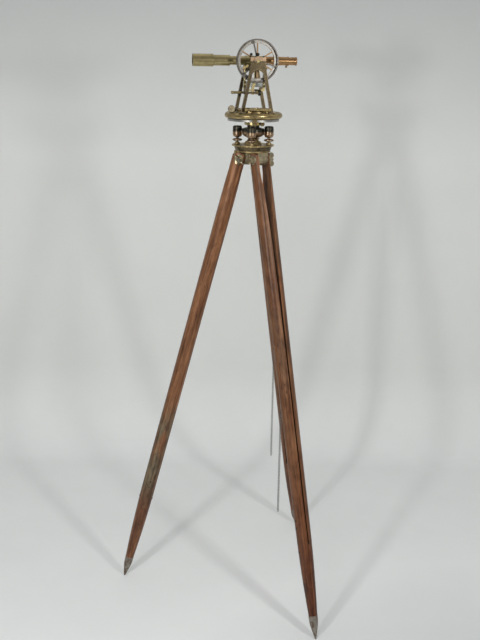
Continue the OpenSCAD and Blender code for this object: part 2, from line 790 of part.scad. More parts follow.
module compass_glass() {
    color(glass) at_axis() translate([0, 0, compass_top - 3])
        cylinder(r = compass_r - compass_wall + 1.5, h = 2);
}

// Magnetic needle with its jewelled cap
module compass_needle() {
    half = needle_len / 2;
    color(dark_bronze) at_axis() translate([0, 0, plate_top + 4.4]) rotate([0, 0, needle_turn]) difference() {
        union() {
            linear_extrude(1) polygon([[-half, 0], [-half / 3, -2.2], [0, -1.4], [half / 3, -2.2], [half, 0],
                [half / 3, 2.2], [0, 1.4], [-half / 3, 2.2]]);
            cylinder(r = 3.4, h = 1.8);
        }
        translate([0, 0, -1]) cylinder(r = 0.9, h = 2.2);
    }
}

// Case of a plate level: flanged ends and a tube with two windows along its top
module level_case(len) {
    half = len / 2;
    bridge = 2.5;
    open_w = 2 * plate_level_r - 3.2;
    difference() {
        union() {
            rod_x(plate_level_r, -half, half);
            for (side = [-1, 1]) translate([side * (half - 3), 0, 0])
                rod_x(plate_level_r + level_flange, -3, 3);
        }
        rod_x(plate_level_r - 1.2, -half + 5, half - 5);
        for (side = [0, 1]) mirror([side, 0, 0])
            translate([bridge, -open_w / 2, 0]) cube([half - 12 - bridge, open_w, 10]);
    }
    translate([0, 0, plate_level_r - 0.6]) cylinder(r = 1.5, h = 2.6);
}

module level_post(x, y, z) {
    translate([x, y, plate_top]) cylinder(r = 3, h = z - plate_top - plate_level_r + level_flange);
}

// Level outside the near standard
module front_plate_level() {
    color(bright_brass) at_axis() {
        translate([0, plate_level_y, plate_level_z]) level_case(front_level_len);
        for (side = [-1, 1]) level_post(side * front_post_x, plate_level_y, plate_level_z);
    }
}

module side_plate_level() {
    post_y = side_level_len / 2 - 4;
    color(bright_brass) at_axis() {
        translate([side_level_x, side_level_y, side_level_z]) rotate([0, 0, 90]) level_case(side_level_len);
        for (side = [-1, 1]) level_post(side_level_x, side_level_y + side * post_y, side_level_z);
    }
}

module plate_vials() {
    r = plate_level_r - 1.3;
    front_half = front_level_len / 2 - 5;
    side_half = side_level_len / 2 - 5;
    color(glass) at_axis() {
        translate([0, plate_level_y, plate_level_z]) rod_x(r, -front_half, front_half);
        translate([side_level_x, side_level_y, side_level_z]) rod_y(r, -side_half, side_half);
    }
}

// Outline of a standard, with the bearing at the origin and its feet below
module standard_outline() {
    foot = base_spread / 2;
    knee = arch_r + strut_w / 2;
    low = axis_rise;
    difference() {
        polygon([[-bearing_w / 2, 0], [-bearing_w / 2, -bearing_h], [-knee - strut_w / 2, -arch_drop],
            [-foot - strut_w / 2, -low + 5], [-foot - strut_w / 2 - 4, -low], [foot + strut_w / 2 + 4, -low],
            [foot + strut_w / 2, -low + 5], [knee + strut_w / 2, -arch_drop], [bearing_w / 2, -bearing_h],
            [bearing_w / 2, 0]]);
        translate([0, -arch_drop]) circle(r = arch_r);
        polygon([[-arch_r, -arch_drop], [arch_r, -arch_drop], [foot - strut_w / 2, -low + 5],
            [foot - strut_w / 2 - 3, -low - 1], [-foot + strut_w / 2 + 3, -low - 1],
            [-foot + strut_w / 2, -low + 5]]);
    }
}

// One standard, standing across Y with its middle at y = 0
module standard() {
    difference() {
        union() {
            rotate([90, 0, 0]) translate([0, 0, -standard_t / 2]) linear_extrude(standard_t)
                standard_outline();
            bearing_boss();
            arch_moulding();
            for (side = [-1, 1]) translate([side * (base_spread / 2 + 1), 0, -axis_rise])
                foot_flange();
        }
        rod_y(journal_r + run_fit, -standard_t, standard_t);
        translate([-bearing_w, -standard_t, 0]) cube([2 * bearing_w, 2 * standard_t, bearing_w]);
        for (side = [-1, 1]) translate([side * cap_bolt_x, 0, -9]) cylinder(r = 1.6, h = 20);
    }
}

// Stepped boss round the journal, on the outer face
module bearing_boss() {
    inner = standard_t / 2;
    flange = inner + 2.2;
    hub = inner + 3.4;
    rotate([90, 0, 0]) rotate_extrude() polygon([[0, -inner], [axle_boss_r, -inner], [axle_boss_r, flange - 0.6],
        [axle_boss_r - 0.6, flange], [axle_hub_r, flange], [axle_hub_r, hub - 0.4], [axle_hub_r - 0.4, hub],
        [0, hub]]);
}

// Raised band round the arch, on the outer face
module arch_moulding() {
    proud = 1.2;
    intersection() {
        rotate([90, 0, 0]) translate([0, 0, standard_t / 2 - 0.2]) linear_extrude(proud + 0.2)
            standard_outline();
        translate([0, 0, -arch_drop]) difference() {
            rod_y(arch_r + 3.6, -standard_t, 0);
            translate([-bearing_w, -standard_t - 1, -bearing_w]) cube([2 * bearing_w, standard_t + 2, bearing_w - 4]);
        }
    }
}

// Flange under a standard's foot
module foot_flange() {
    wide = strut_w + 9;
    translate([-wide / 2, -standard_t / 2 - foot_flange_out, 0])
        cube([wide, standard_t + 2 * foot_flange_out, foot_flange_t]);
}

module near_standard() {
    color(brass) at_scope() {
        translate([0, -side_y, 0]) standard();
        tangent_bracket();
    }
}

module far_standard() {
    color(brass) at_scope() translate([0, side_y, 0]) mirror([0, 1, 0]) standard();
}

// Bracket on the near standard that holds the vertical tangent screw and its spring
module tangent_bracket() {
    leg_x = arch_r + strut_w / 2 + (base_spread / 2 - arch_r - strut_w / 2)
        * (tangent_drop - arch_drop) / (axis_rise - arch_drop);
    back = -inner_y;
    front = -arm_y;
    boss_in = arm_tip_x - arm_tip_w / 2 - 8;
    boss_out = arm_tip_x + arm_tip_w / 2 + 4;
    translate([0, 0, -tangent_drop]) difference() {
        union() {
            translate([-leg_x - 4, back - 3, -4.5]) cube([8, front - back + 3, 9]);
            translate([-leg_x, back + 1, -3]) cube([leg_x + boss_out + tangent_boss, 5, 6]);
            translate([0, front, 0]) rod_x(5, -leg_x - 4, boss_in);
            translate([boss_out, back + 1, -4]) cube([tangent_boss, front - back - 1, 8]);
            translate([0, front, 0]) rod_x(5, boss_out, boss_out + tangent_boss);
        }
        translate([0, front, 0]) rod_x(spring_r + run_fit, -leg_x - 20, boss_in + 1);
        translate([0, front, 0]) rod_x(tangent_r + run_fit, boss_out - 1, boss_out + 20);
    }
}

// Caps that close the bearings over the journals
module bearing_caps() {
    color(bright_brass) at_scope() for (side = [-1, 1]) translate([0, side * side_y, 0]) difference() {
        union() {
            translate([-bearing_w / 2, -standard_t / 2, 0]) cube([bearing_w, standard_t, bearing_h - 3]);
            mirror([0, side > 0 ? 1 : 0, 0]) bearing_boss();
        }
        rod_y(journal_r + run_fit, -standard_t, standard_t);
        translate([-bearing_w, -standard_t, -bearing_w]) cube([2 * bearing_w, 2 * standard_t, bearing_w]);
        for (edge = [-1, 1]) translate([edge * cap_bolt_x, 0, -1]) cylinder(r = 1.6, h = 30);
    }
}

// Four screws through the caps and an oiler with a round knob on each cap
module cap_screws() {
    color(dark_bronze) at_scope() for (side = [-1, 1]) translate([0, side * side_y, 0]) {
        for (edge = [-1, 1]) translate([edge * cap_bolt_x, 0, 0]) {
            translate([0, 0, -8]) cylinder(r = 1.55, h = bearing_h + 6);
            translate([0, 0, bearing_h - 3]) cylinder(r = 3.2, h = 2.4);
        }
        translate([0, 0, axle_boss_r]) oiler();
    }
}

// Turned knob on a short neck
module oiler() {
    neck = 2.4;
    rotate_extrude() polygon(concat([[0, 0], [neck, 0], [neck, 1.2]],
        [for (i = [2:10]) [oiler_r * sin(i * 18), 1.2 + oiler_r * (0.8 - cos(i * 18))]]));
}

// Ring round the vertical circle, on arms from the near standard
module circle_guard() {
    color(dark_bronze) at_scope() {
        difference() {
            rod_y(guard_out, -guard_y, -circle_y + circle_t + 0.6);
            rod_y(guard_in, -guard_y - 1, -circle_y + circle_t + 2);
        }
        difference() {
            union() {
                rod_y(13, -guard_y, -guard_y + guard_plate_t);
                for (a = [104, 224, 344]) rotate([0, -a, 0]) translate([8, -guard_y, -2.2])
                    cube([guard_in - 7, guard_plate_t, 4.4]);
            }
            rod_y(hub_axle_r + 1, -guard_y - 1, -guard_y + 10);
        }
    }
}

// Vernier of the vertical circle on its bracket at the lower left
module circle_vernier() {
    r_out = circle_r - band_w - 0.4;
    face = -circle_y - 0.4 - vernier_t;
    color(bright_brass) at_scope() translate([0, 0, 0]) rotate([0, -206, 0]) {
        difference() {
            rod_y(r_out, face, face + vernier_t);
            rod_y(r_out - 5, face - 1, face + 10);
            rotate([0, 14, 0]) translate([-80, face - 1, 0]) cube([160, 10, 80]);
            rotate([0, -14, 0]) translate([-80, face - 1, -80]) cube([160, 10, 80]);
            translate([-80, face - 1, -80]) cube([80, 10, 160]);
        }
        translate([vernier_foot, -guard_y, -3]) cube([r_out - vernier_foot - 1, guard_plate_t, 6]);
        translate([r_out - 5, -guard_y, -3]) cube([4, face + vernier_t + guard_y, 6]);
    }
}

// Barrel of the spring that pushes against the clamp arm
module spring_barrel() {
    stop = -arm_tip_x + arm_tip_w / 2 + 8;
    ball = 4.6;
    color(bright_brass) at_scope() translate([0, -arm_y, -tangent_drop]) difference() {
        rotate([0, 90, 0]) rotate_extrude() polygon(concat(
            [for (i = [0:8]) [ball * sin(i * 18.5), -ball * cos(i * 18.5) - spring_end - 3]],
            [[2.4, 2 - spring_end], [4.2, 2.6 - spring_end], [4.2, 4.6 - spring_end],
             [spring_r, 5.2 - spring_end], [spring_r, -stop], [0, -stop]]));
        rod_x(plunger_r + run_fit, -spring_end + 8, 0);
    }
}

module spring_plunger() {
    tip = arm_tip_x - arm_tip_w / 2;
    color(steel) at_scope() translate([0, -arm_y, -tangent_drop])
        rod_x(plunger_r, -spring_end + 20, tip - touch);
}

// Clamp collar on the axle with its arm down to the tangent screw
module clamp_arm() {
    color(brass) at_scope() difference() {
        union() {
            rod_y(collar_r, -arm_y - collar_t / 2, -arm_y + collar_t / 2);
            translate([0, -arm_y + 3, 0]) rotate([90, 0, 0]) linear_extrude(6) polygon([[-9, -8], [9, -8],
                [3, -44], [arm_tip_x + arm_tip_w / 2, -arm_bend], [arm_tip_x + arm_tip_w / 2, -tangent_drop - 6],
                [arm_tip_x - arm_tip_w / 2, -tangent_drop - 6], [arm_tip_x - arm_tip_w / 2, -arm_bend],
                [-6, -44]]);
            rotate([0, 45, 0]) translate([0, -arm_y, 0]) rod_x(collar_t / 2 - 0.3, 8, 22);
        }
        rod_y(collar_bore + run_fit, -arm_y - 10, -arm_y + 10);
        rotate([0, 45, 0]) translate([0, -arm_y, 0]) rod_x(small_screw_r + run_fit, 8, 30);
    }
}

module vertical_clamp_screw() {
    color(bright_brass) at_scope() rotate([0, 45, 0]) translate([0, -arm_y, 0]) {
        rod_x(small_screw_r, collar_bore + 0.6, 32);
        translate([31, 0, 0]) rotate([0, 90, 0]) knob(7.5, 7);
    }
}

module vertical_tangent_screw() {
    start = arm_tip_x + arm_tip_w / 2 + touch;
    knob_x = arm_tip_x + arm_tip_w / 2 + 4 + tangent_boss + 2;
    color(dark_bronze) at_scope() translate([0, -arm_y, -tangent_drop]) {
        rod_x(tangent_r, start, knob_x + 1);
        translate([knob_x, 0, 0]) rotate([0, 90, 0]) knob(tangent_knob_r, 8);
    }
}

// Graduated vertical circle on the telescope's axle
module vertical_circle() {
    inner = circle_r - band_w;
    color(silvered) at_scope() difference() {
        union() {
            difference() {
                rod_y(circle_r, -circle_y, -circle_y + circle_t);
                rod_y(inner, -circle_y - 1, -circle_y + circle_t + 1);
            }
            rod_y(13, -circle_y, -circle_y + circle_t);
            for (i = [0:circle_spokes - 1]) rotate([0, -30 - i * 360 / circle_spokes, 0])
                translate([10, -circle_y + 1, -2]) cube([inner - 9, circle_t - 2, 4]);
        }
        rod_y(hub_axle_r, -circle_y - 1, -circle_y + circle_t + 1);
    }
}

// Main tube with its cross axle
module telescope_tube() {
    color(brass) at_scope() difference() {
        union() {
            rod_x(tube_r, -front_len - 2, back_len);
            rod_x(barrel_r, -front_end, -front_len);
            rod_x(barrel_r + 0.5, -front_len - 3, -front_len);
            rod_x(tube_r + 1.2, -24, 24);
            rod_x(sleeve_r, back_len - 1, back_end);
            rod_x(sleeve_r + 0.9, back_end - 3, back_end);
            rod_x(tube_r + 0.8, back_len - 4, back_len);
            axle();
            translate([focus_x, 0, 0]) rod_y(6, 0, focus_y - 4);
            for (i = [0:3]) translate([back_len - 13, 0, 0]) rotate([90 * i, 0, 0]) capstan_screw();
            translate([back_end - 6, 0, 0]) rotate([180, 0, 0]) guide_screw();
        }
        rod_x(slide_r + run_fit, -front_end - 1, -20);
        rod_x(slide_r - 2, -21, back_len + 1);
        rod_x(eyepiece_r + run_fit, back_len - 6, back_end + 1);
        translate([focus_x, 0, 0]) rod_y(small_screw_r + run_fit, 0, focus_y + 5);
    }
}

// Capstan-headed adjusting screw of the cross-hair ring, pointing along Z
module capstan_screw() {
    translate([0, 0, tube_r - 1]) cylinder(r = 1.8, h = 3);
    translate([0, 0, tube_r + 1]) cylinder(r = 2.8, h = 3);
}

// Screw that guides the eyepiece's slide, pointing along Z
module guide_screw() {
    translate([0, 0, sleeve_r - 1]) cylinder(r = 2, h = 4);
    translate([0, 0, sleeve_r + 2]) cylinder(r1 = 3.4, r2 = 2.8, h = 4.4);
}

// Trunnions of the telescope, from the tube out to the journals
module axle() {
    end = collar_y - collar_t - gap;
    rotate([90, 0, 0]) rotate_extrude() polygon([[0, 0], [14, 0], [14, tube_r - 1], [11, 19],
        [collar_bore, end], [collar_bore, collar_y + 1.5], [hub_axle_r, collar_y + 1.5],
        [hub_axle_r, inner_y - gap],
        [journal_r, inner_y - gap], [journal_r, outer_y + 1.8], [0, outer_y + 1.8]]);
    rotate([-90, 0, 0]) rotate_extrude() polygon([[0, 0], [14, 0], [14, tube_r - 1], [11, 19], [8, 30],
        [8, inner_y - gap], [journal_r, inner_y - gap], [journal_r, outer_y + 1.8], [0, outer_y + 1.8]]);
}

// Level under the telescope: end caps on posts and a bar between them
module telescope_level() {
    half = vial_len / 2;
    color(brass) at_scope() difference() {
        union() {
            for (side = [-1, 1]) {
                translate([side * (half + 3), 0, -level_drop]) rod_x(vial_r + 1.8, -3.5, 3.5);
                translate([side * (half + 3), 0, -level_drop]) cylinder(r = 3, h = level_drop - tube_r + 1);
                translate([side * (half + 3) - 3, -4, -level_drop - vial_r - 9]) cube([6, 8, 9]);
            }
            translate([-half - 6, -4.5, -level_drop - vial_r - 11]) cube([vial_len + 12, 9, 5]);
        }
        translate([0, 0, -level_drop]) rod_x(vial_r, -half - 3, half + 3);
        rod_x(tube_r, -half - 10, half + 10);
    }
}

module telescope_vial() {
    color(glass) at_scope() translate([0, 0, -level_drop]) rod_x(vial_r, -vial_len / 2 - 3, vial_len / 2 + 3);
}

// Focusing knob with its spindle, on the far side of the tube
module focus_knob() {
    color(bright_brass) at_scope() translate([focus_x, 0, 0]) {
        rod_y(small_screw_r, slide_r + 0.6, focus_y);
        translate([0, focus_y - 3.5, 0]) rotate([-90, 0, 0]) knob(9, 7);
    }
}

// Inner tube that carries the objective and slides in the main tube
module objective_slide() {
    color(brass) at_scope() difference() {
        union() {
            rod_x(slide_r, -head_front + 8, focus_x - 4);
            rod_x(head_r, -head_front, -front_end - 0.6);
        }
        rod_x(slide_r - 1.6, -head_front + 10, 0);
        rod_x(lens_r, -head_front - 1, -head_front + 8);
        rod_x(lens_r - 1.6, -head_front - 1, -head_front + 12);
    }
}

module objective_lens() {
    color(glass) at_scope() rod_x(lens_r, -head_front + 3, -head_front + 8);
}

module sunshade() {
    color(brass) at_scope() difference() {
        rod_x(shade_r, -shade_front, -front_end + 4);
        rod_x(head_r + run_fit, -shade_front + 26, 0);
        rod_x(head_r - 0.7, -shade_front - 1, 0);
    }
}

// Eyepiece that pulls in and out of the sleeve, with its guide screw and eye cap
module eyepiece() {
    cup = back_end + eyepiece_len;
    color(copper_brass) at_scope() difference() {
        union() {
            rod_x(eyepiece_r, back_len + 2, cup);
            rod_x(eyepiece_r + 0.8, back_end + 9, back_end + 11);
            rod_x(eyepiece_r + 1, cup - 4, cup);
        }
        rod_x(7.5, back_len, cup - 8);
        rod_x(eye_lens_r, back_len, cup - 2);
        rod_x(4, cup - 10, cup + 1);
    }
}

module eye_lens() {
    color(glass) at_scope() rod_x(eye_lens_r, back_end + eyepiece_len - 8, back_end + eyepiece_len - 4);
}

tripod_head();
leg_stile(left_turn, 0, 0);  // left_leg_near_stile
leg_stile(left_turn, 1, 0);  // left_leg_far_stile
leg_shoe(left_turn);  // left_leg_shoe
leg_fittings(left_turn, 0, -30);  // left_leg_fittings
leg_stile(front_turn, 1, front_eye_down);  // front_leg_near_stile
leg_stile(front_turn, 0, front_eye_down);  // front_leg_far_stile
leg_shoe(front_turn);  // front_leg_shoe
leg_fittings(front_turn, front_eye_down, 100);  // front_leg_fittings
leg_stile(rear_turn, 1, rear_eye_down);  // rear_leg_near_stile
leg_stile(rear_turn, 0, rear_eye_down);  // rear_leg_far_stile
leg_shoe(rear_turn);  // rear_leg_shoe
leg_fittings(rear_turn, rear_eye_down, 20);  // rear_leg_fittings
chain(front_turn, front_eye_down, front_links);  // front_chain
chain(rear_turn, rear_eye_down, rear_links);  // rear_chain
plumb_hook();
foot_plate();
leveling_shoes();
ball_bush();
spider();
dust_caps();
leveling_screw(180);  // left_leveling_screw
leveling_screw(0);  // right_leveling_screw
leveling_screw(270);  // front_leveling_screw
leveling_screw(90);  // rear_leveling_screw
lower_clamp();
lower_clamp_screw();
lower_tangent_screw();
lower_limb();
vernier_plate();
plate_clamp_screw();
plate_tangent_screw();
compass_box();
compass_glass();
compass_needle();
front_plate_level();
side_plate_level();
plate_vials();
near_standard();
far_standard();
bearing_caps();
cap_screws();
circle_guard();
circle_vernier();
spring_barrel();
spring_plunger();
clamp_arm();
vertical_clamp_screw();
vertical_tangent_screw();
vertical_circle();
telescope_tube();
telescope_level();
telescope_vial();
focus_knob();
objective_slide();
objective_lens();
sunshade();
eyepiece();
eye_lens();
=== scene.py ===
"""Looks of a surveyor's transit on a split-leg tripod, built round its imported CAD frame."""
import json
import math

import bpy
from mathutils import Matrix, Vector


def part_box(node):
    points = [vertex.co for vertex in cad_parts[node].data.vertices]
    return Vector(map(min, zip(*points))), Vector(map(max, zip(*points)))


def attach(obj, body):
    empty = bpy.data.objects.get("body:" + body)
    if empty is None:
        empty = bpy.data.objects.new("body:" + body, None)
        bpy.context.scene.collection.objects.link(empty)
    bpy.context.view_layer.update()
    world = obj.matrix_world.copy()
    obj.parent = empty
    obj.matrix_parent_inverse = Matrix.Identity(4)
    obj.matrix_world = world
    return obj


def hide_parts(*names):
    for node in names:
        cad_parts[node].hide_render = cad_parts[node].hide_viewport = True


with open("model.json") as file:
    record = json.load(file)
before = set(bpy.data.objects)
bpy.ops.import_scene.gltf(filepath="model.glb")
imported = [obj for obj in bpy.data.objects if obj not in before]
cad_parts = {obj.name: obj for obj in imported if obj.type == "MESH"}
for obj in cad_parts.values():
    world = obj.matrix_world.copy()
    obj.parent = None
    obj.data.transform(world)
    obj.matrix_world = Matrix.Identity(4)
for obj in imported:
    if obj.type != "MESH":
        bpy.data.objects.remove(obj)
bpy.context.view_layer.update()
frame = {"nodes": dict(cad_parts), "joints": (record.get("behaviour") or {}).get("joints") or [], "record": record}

MM = 0.001
JOINTS = {j["name"]: j for j in frame["joints"]}

# Camera: place, heading from +Y towards +X, tilt and roll in degrees, and lens for a 36 mm long side
CAMERA_AT = (-0.3816, -2.6422, 1.699)
CAMERA_HEADING = 9.15
CAMERA_TILT = -16.3
CAMERA_ROLL = 0.9
CAMERA_LENS = 50.6

# Studio: distances in metres from the instrument's axis, in the camera's own directions
WALL_BACK = 1.15
COVE_RADIUS = 0.3
FLOOR_FRONT = 3.4
STAGE_HALF = 2.6
WALL_TOP = 2.9
# Level of the light that comes from all round, 1 being white
AMBIENT = 0.46
# Where the floor is painted a little dimmer, as painted shade: to the right of the instrument's axis and in front
# of it
PAINTED_SHADE_CORNER = (0.75, -1.0, 0.0)


def foot_of(leg):
    """Where a leg's point stands, from the record's mounts."""
    return next(Vector(m["pos_m"]) for m in frame["record"]["mounts"] if m["name"] == leg + "_foot")


def lin(*rgb):
    """Linear colour of an 8-bit sRGB one."""
    channels = [c / 255 for c in rgb]
    return tuple(c / 12.92 if c <= 0.04045 else ((c + 0.055) / 1.055) ** 2.4 for c in channels) + (1.0,)


# Node trees

def put(tree, kind, inputs=None, **settings):
    """Adds a node. An input that is a socket gets linked, and any other value is set."""
    node = tree.nodes.new(kind)
    for key, value in settings.items():
        setattr(node, key, value)
    for key, value in (inputs or {}).items():
        if isinstance(value, bpy.types.NodeSocket):
            tree.links.new(value, node.inputs[key])
        else:
            node.inputs[key].default_value = value
    return node


class Surface:
    """A procedural material: its node tree, and short ways to add to it."""

    def __init__(self, name, **shader):
        self.mat = bpy.data.materials.new(name)
        self.mat.use_nodes = True
        self.tree = self.mat.node_tree
        self.tree.nodes.clear()
        self.bsdf = put(self.tree, "ShaderNodeBsdfPrincipled", shader)
        out = put(self.tree, "ShaderNodeOutputMaterial")
        self.tree.links.new(self.bsdf.outputs[0], out.inputs[0])
        self.place = put(self.tree, "ShaderNodeTexCoord").outputs["Object"]

    def put(self, kind, inputs=None, **settings):
        return put(self.tree, kind, inputs, **settings)

    def set(self, socket, value):
        """Links or sets an input of the shader."""
        if isinstance(value, bpy.types.NodeSocket):
            self.tree.links.new(value, self.bsdf.inputs[socket])
        else:
            self.bsdf.inputs[socket].default_value = value

    def math(self, operation, a, b=0.0, clamp=False):
        node = self.put("ShaderNodeMath", {0: a, 1: b}, operation=operation, use_clamp=clamp)
        return node.outputs[0]

    def vec(self, operation, a, b):
        node = self.put("ShaderNodeVectorMath", {0: a, 1: b}, operation=operation)
        return node.outputs["Value" if operation in ("DOT_PRODUCT", "LENGTH", "DISTANCE") else "Vector"]

    def noise(self, scale, detail=3.0, rough=0.55, at=None, warp=0.0):
        node = self.put("ShaderNodeTexNoise", {
            "Vector": at or self.place, "Scale": scale, "Detail": detail, "Roughness": rough,
            "Distortion": warp})
        return node.outputs["Fac"]

    def span(self, value, low, high, to_low=0.0, to_high=1.0):
        """Maps low..high to to_low..to_high, clamped."""
        node = self.put("ShaderNodeMapRange", {
            "Value": value, "From Min": low, "From Max": high, "To Min": to_low, "To Max": to_high})
        return node.outputs[0]

    def mix(self, share, a, b, blend="MIX"):
        node = self.put("ShaderNodeMix", {0: share, 6: a, 7: b}, data_type="RGBA", blend_type=blend)
        return node.outputs[2]

    def ramp(self, value, *stops):
        """Colour ramp from (position, colour) stops."""
        node = self.put("ShaderNodeValToRGB", {"Fac": value})
        band = node.color_ramp
        while len(band.elements) < len(stops):
            band.elements.new(0.5)
        for element, (position, colour) in zip(band.elements, stops):
            element.position = position
            element.color = colour
        return node.outputs["Color"]

    def bump(self, height, strength, distance):
        inputs = {"Height": height, "Strength": strength, "Distance": distance}
        return self.put("ShaderNodeBump", inputs).outputs[0]

    def edges(self, radius):
        """1 along convex and concave edges within a radius, 0 on plain faces."""
        soft = self.put("ShaderNodeBevel", {"Radius": radius}, samples=4).outputs[0]
        plain = self.put("ShaderNodeNewGeometry").outputs["Normal"]
        alike = self.vec("DOT_PRODUCT", soft, plain)
        return self.span(alike, 0.98, 0.80)

    def hollow(self, distance):
        """1 in open air, lower in corners and crevices."""
        return self.put("ShaderNodeAmbientOcclusion", {"Distance": distance}, samples=4).outputs["AO"]


# Materials. A metal's look is its colour, the colour of its rubbed edges and that of its tarnish.

OLIVE = ((0.47, 0.385, 0.19, 1), (0.78, 0.65, 0.37, 1), (0.105, 0.085, 0.048, 1))
YELLOW = ((0.50, 0.38, 0.18, 1), (0.82, 0.68, 0.40, 1), (0.13, 0.095, 0.05, 1))
COPPER = ((0.46, 0.27, 0.125, 1), (0.84, 0.58, 0.33, 1), (0.15, 0.088, 0.045, 1))
PINK = ((0.48, 0.33, 0.21, 1), (0.82, 0.63, 0.43, 1), (0.13, 0.088, 0.055, 1))
BROWN = ((0.165, 0.125, 0.07, 1), (0.62, 0.49, 0.27, 1), (0.035, 0.029, 0.021, 1))
STONE = ((0.60, 0.51, 0.33, 1), (0.86, 0.75, 0.52, 1), (0.18, 0.15, 0.095, 1))
RUST = ((0.34, 0.225, 0.125, 1), (0.78, 0.58, 0.34, 1), (0.09, 0.062, 0.038, 1))
GUNMETAL = ((0.15, 0.136, 0.12, 1), (0.70, 0.65, 0.56, 1), (0.055, 0.05, 0.042, 1))
DARK = ((0.085, 0.078, 0.06, 1), (0.42, 0.35, 0.22, 1), (0.024, 0.024, 0.02, 1))
WHITE = ((0.46, 0.45, 0.42, 1), (0.84, 0.82, 0.78, 1), (0.17, 0.155, 0.125, 1))
GREY = ((0.30, 0.29, 0.27, 1), (0.70, 0.68, 0.64, 1), (0.08, 0.07, 0.058, 1))


def metal(name, look, rough, patches, edge_radius=0.0006, other=None, zone=None):
    """Lacquered or bare metal: tarnish in patches and corners, rubbed edges and fine scratches.

    A zone is a function that gives 1 where the other look shows."""
    s = Surface(name, Metallic=1.0, Roughness=rough)
    if other:
        share = zone(s)
        colour, worn, tarnish = (s.mix(share, first, second) for first, second in zip(look, other))
    else:
        colour, worn, tarnish = look
    cloud = s.noise(42.0, 5.0, 0.62, warp=0.4)
    spots = s.noise(520.0, 3.0, 0.6)
    patch = s.span(s.math("ADD", cloud, s.math("MULTIPLY", spots, 0.35)), 0.60, 0.95 - 0.25 * patches)
    corner = s.span(s.hollow(0.007), 0.30, 0.95, 0.95, 0.0)
    dirt = s.math("MAXIMUM", s.math("MULTIPLY", patch, patches), corner)
    edge = s.math("MULTIPLY", s.edges(edge_radius), s.span(s.noise(170.0, 2.0), 0.36, 0.58))
    base = s.mix(dirt, colour, tarnish)
    s.set("Base Color", s.mix(s.math("MULTIPLY", edge, 0.85), base, worn))
    scratch = s.noise(1.0, 2.0, 0.7, at=s.vec("MULTIPLY", s.place, (260.0, 2400.0, 900.0)))
    fine = s.math("ADD", s.math("MULTIPLY", spots, 0.18), s.math("MULTIPLY", scratch, 0.14))
    smooth = s.math("ADD", fine, rough - 0.14)
    s.set("Roughness", s.math("ADD", smooth, s.math("MULTIPLY", dirt, 0.24), clamp=True))
    s.set("Normal", s.bump(s.math("ADD", scratch, s.math("MULTIPLY", cloud, 1.6)), 0.2, 0.0003))
    return s.mat


def dull_steel(name):
    """Worn steel shoe: grey with brown rust in its hollows and bright rubbed edges."""
    s = Surface(name, Metallic=0.75)
    cloud = s.noise(60.0, 6.0, 0.65, warp=0.6)
    spots = s.noise(700.0, 3.0, 0.6)
    rust = s.span(s.math("ADD", cloud, s.math("MULTIPLY", spots, 0.25)), 0.58, 0.76)
    grey = s.ramp(spots, (0.25, lin(112, 106, 98)), (0.7, lin(164, 157, 147)))
    base = s.mix(rust, grey, lin(100, 76, 56))
    s.set("Base Color", s.mix(s.edges(0.0012), base, lin(200, 194, 184)))
    s.set("Roughness", s.span(cloud, 0.3, 0.7, 0.42, 0.66))
    s.set("Normal", s.bump(s.math("ADD", spots, cloud), 0.4, 0.0005))
    return s.mat


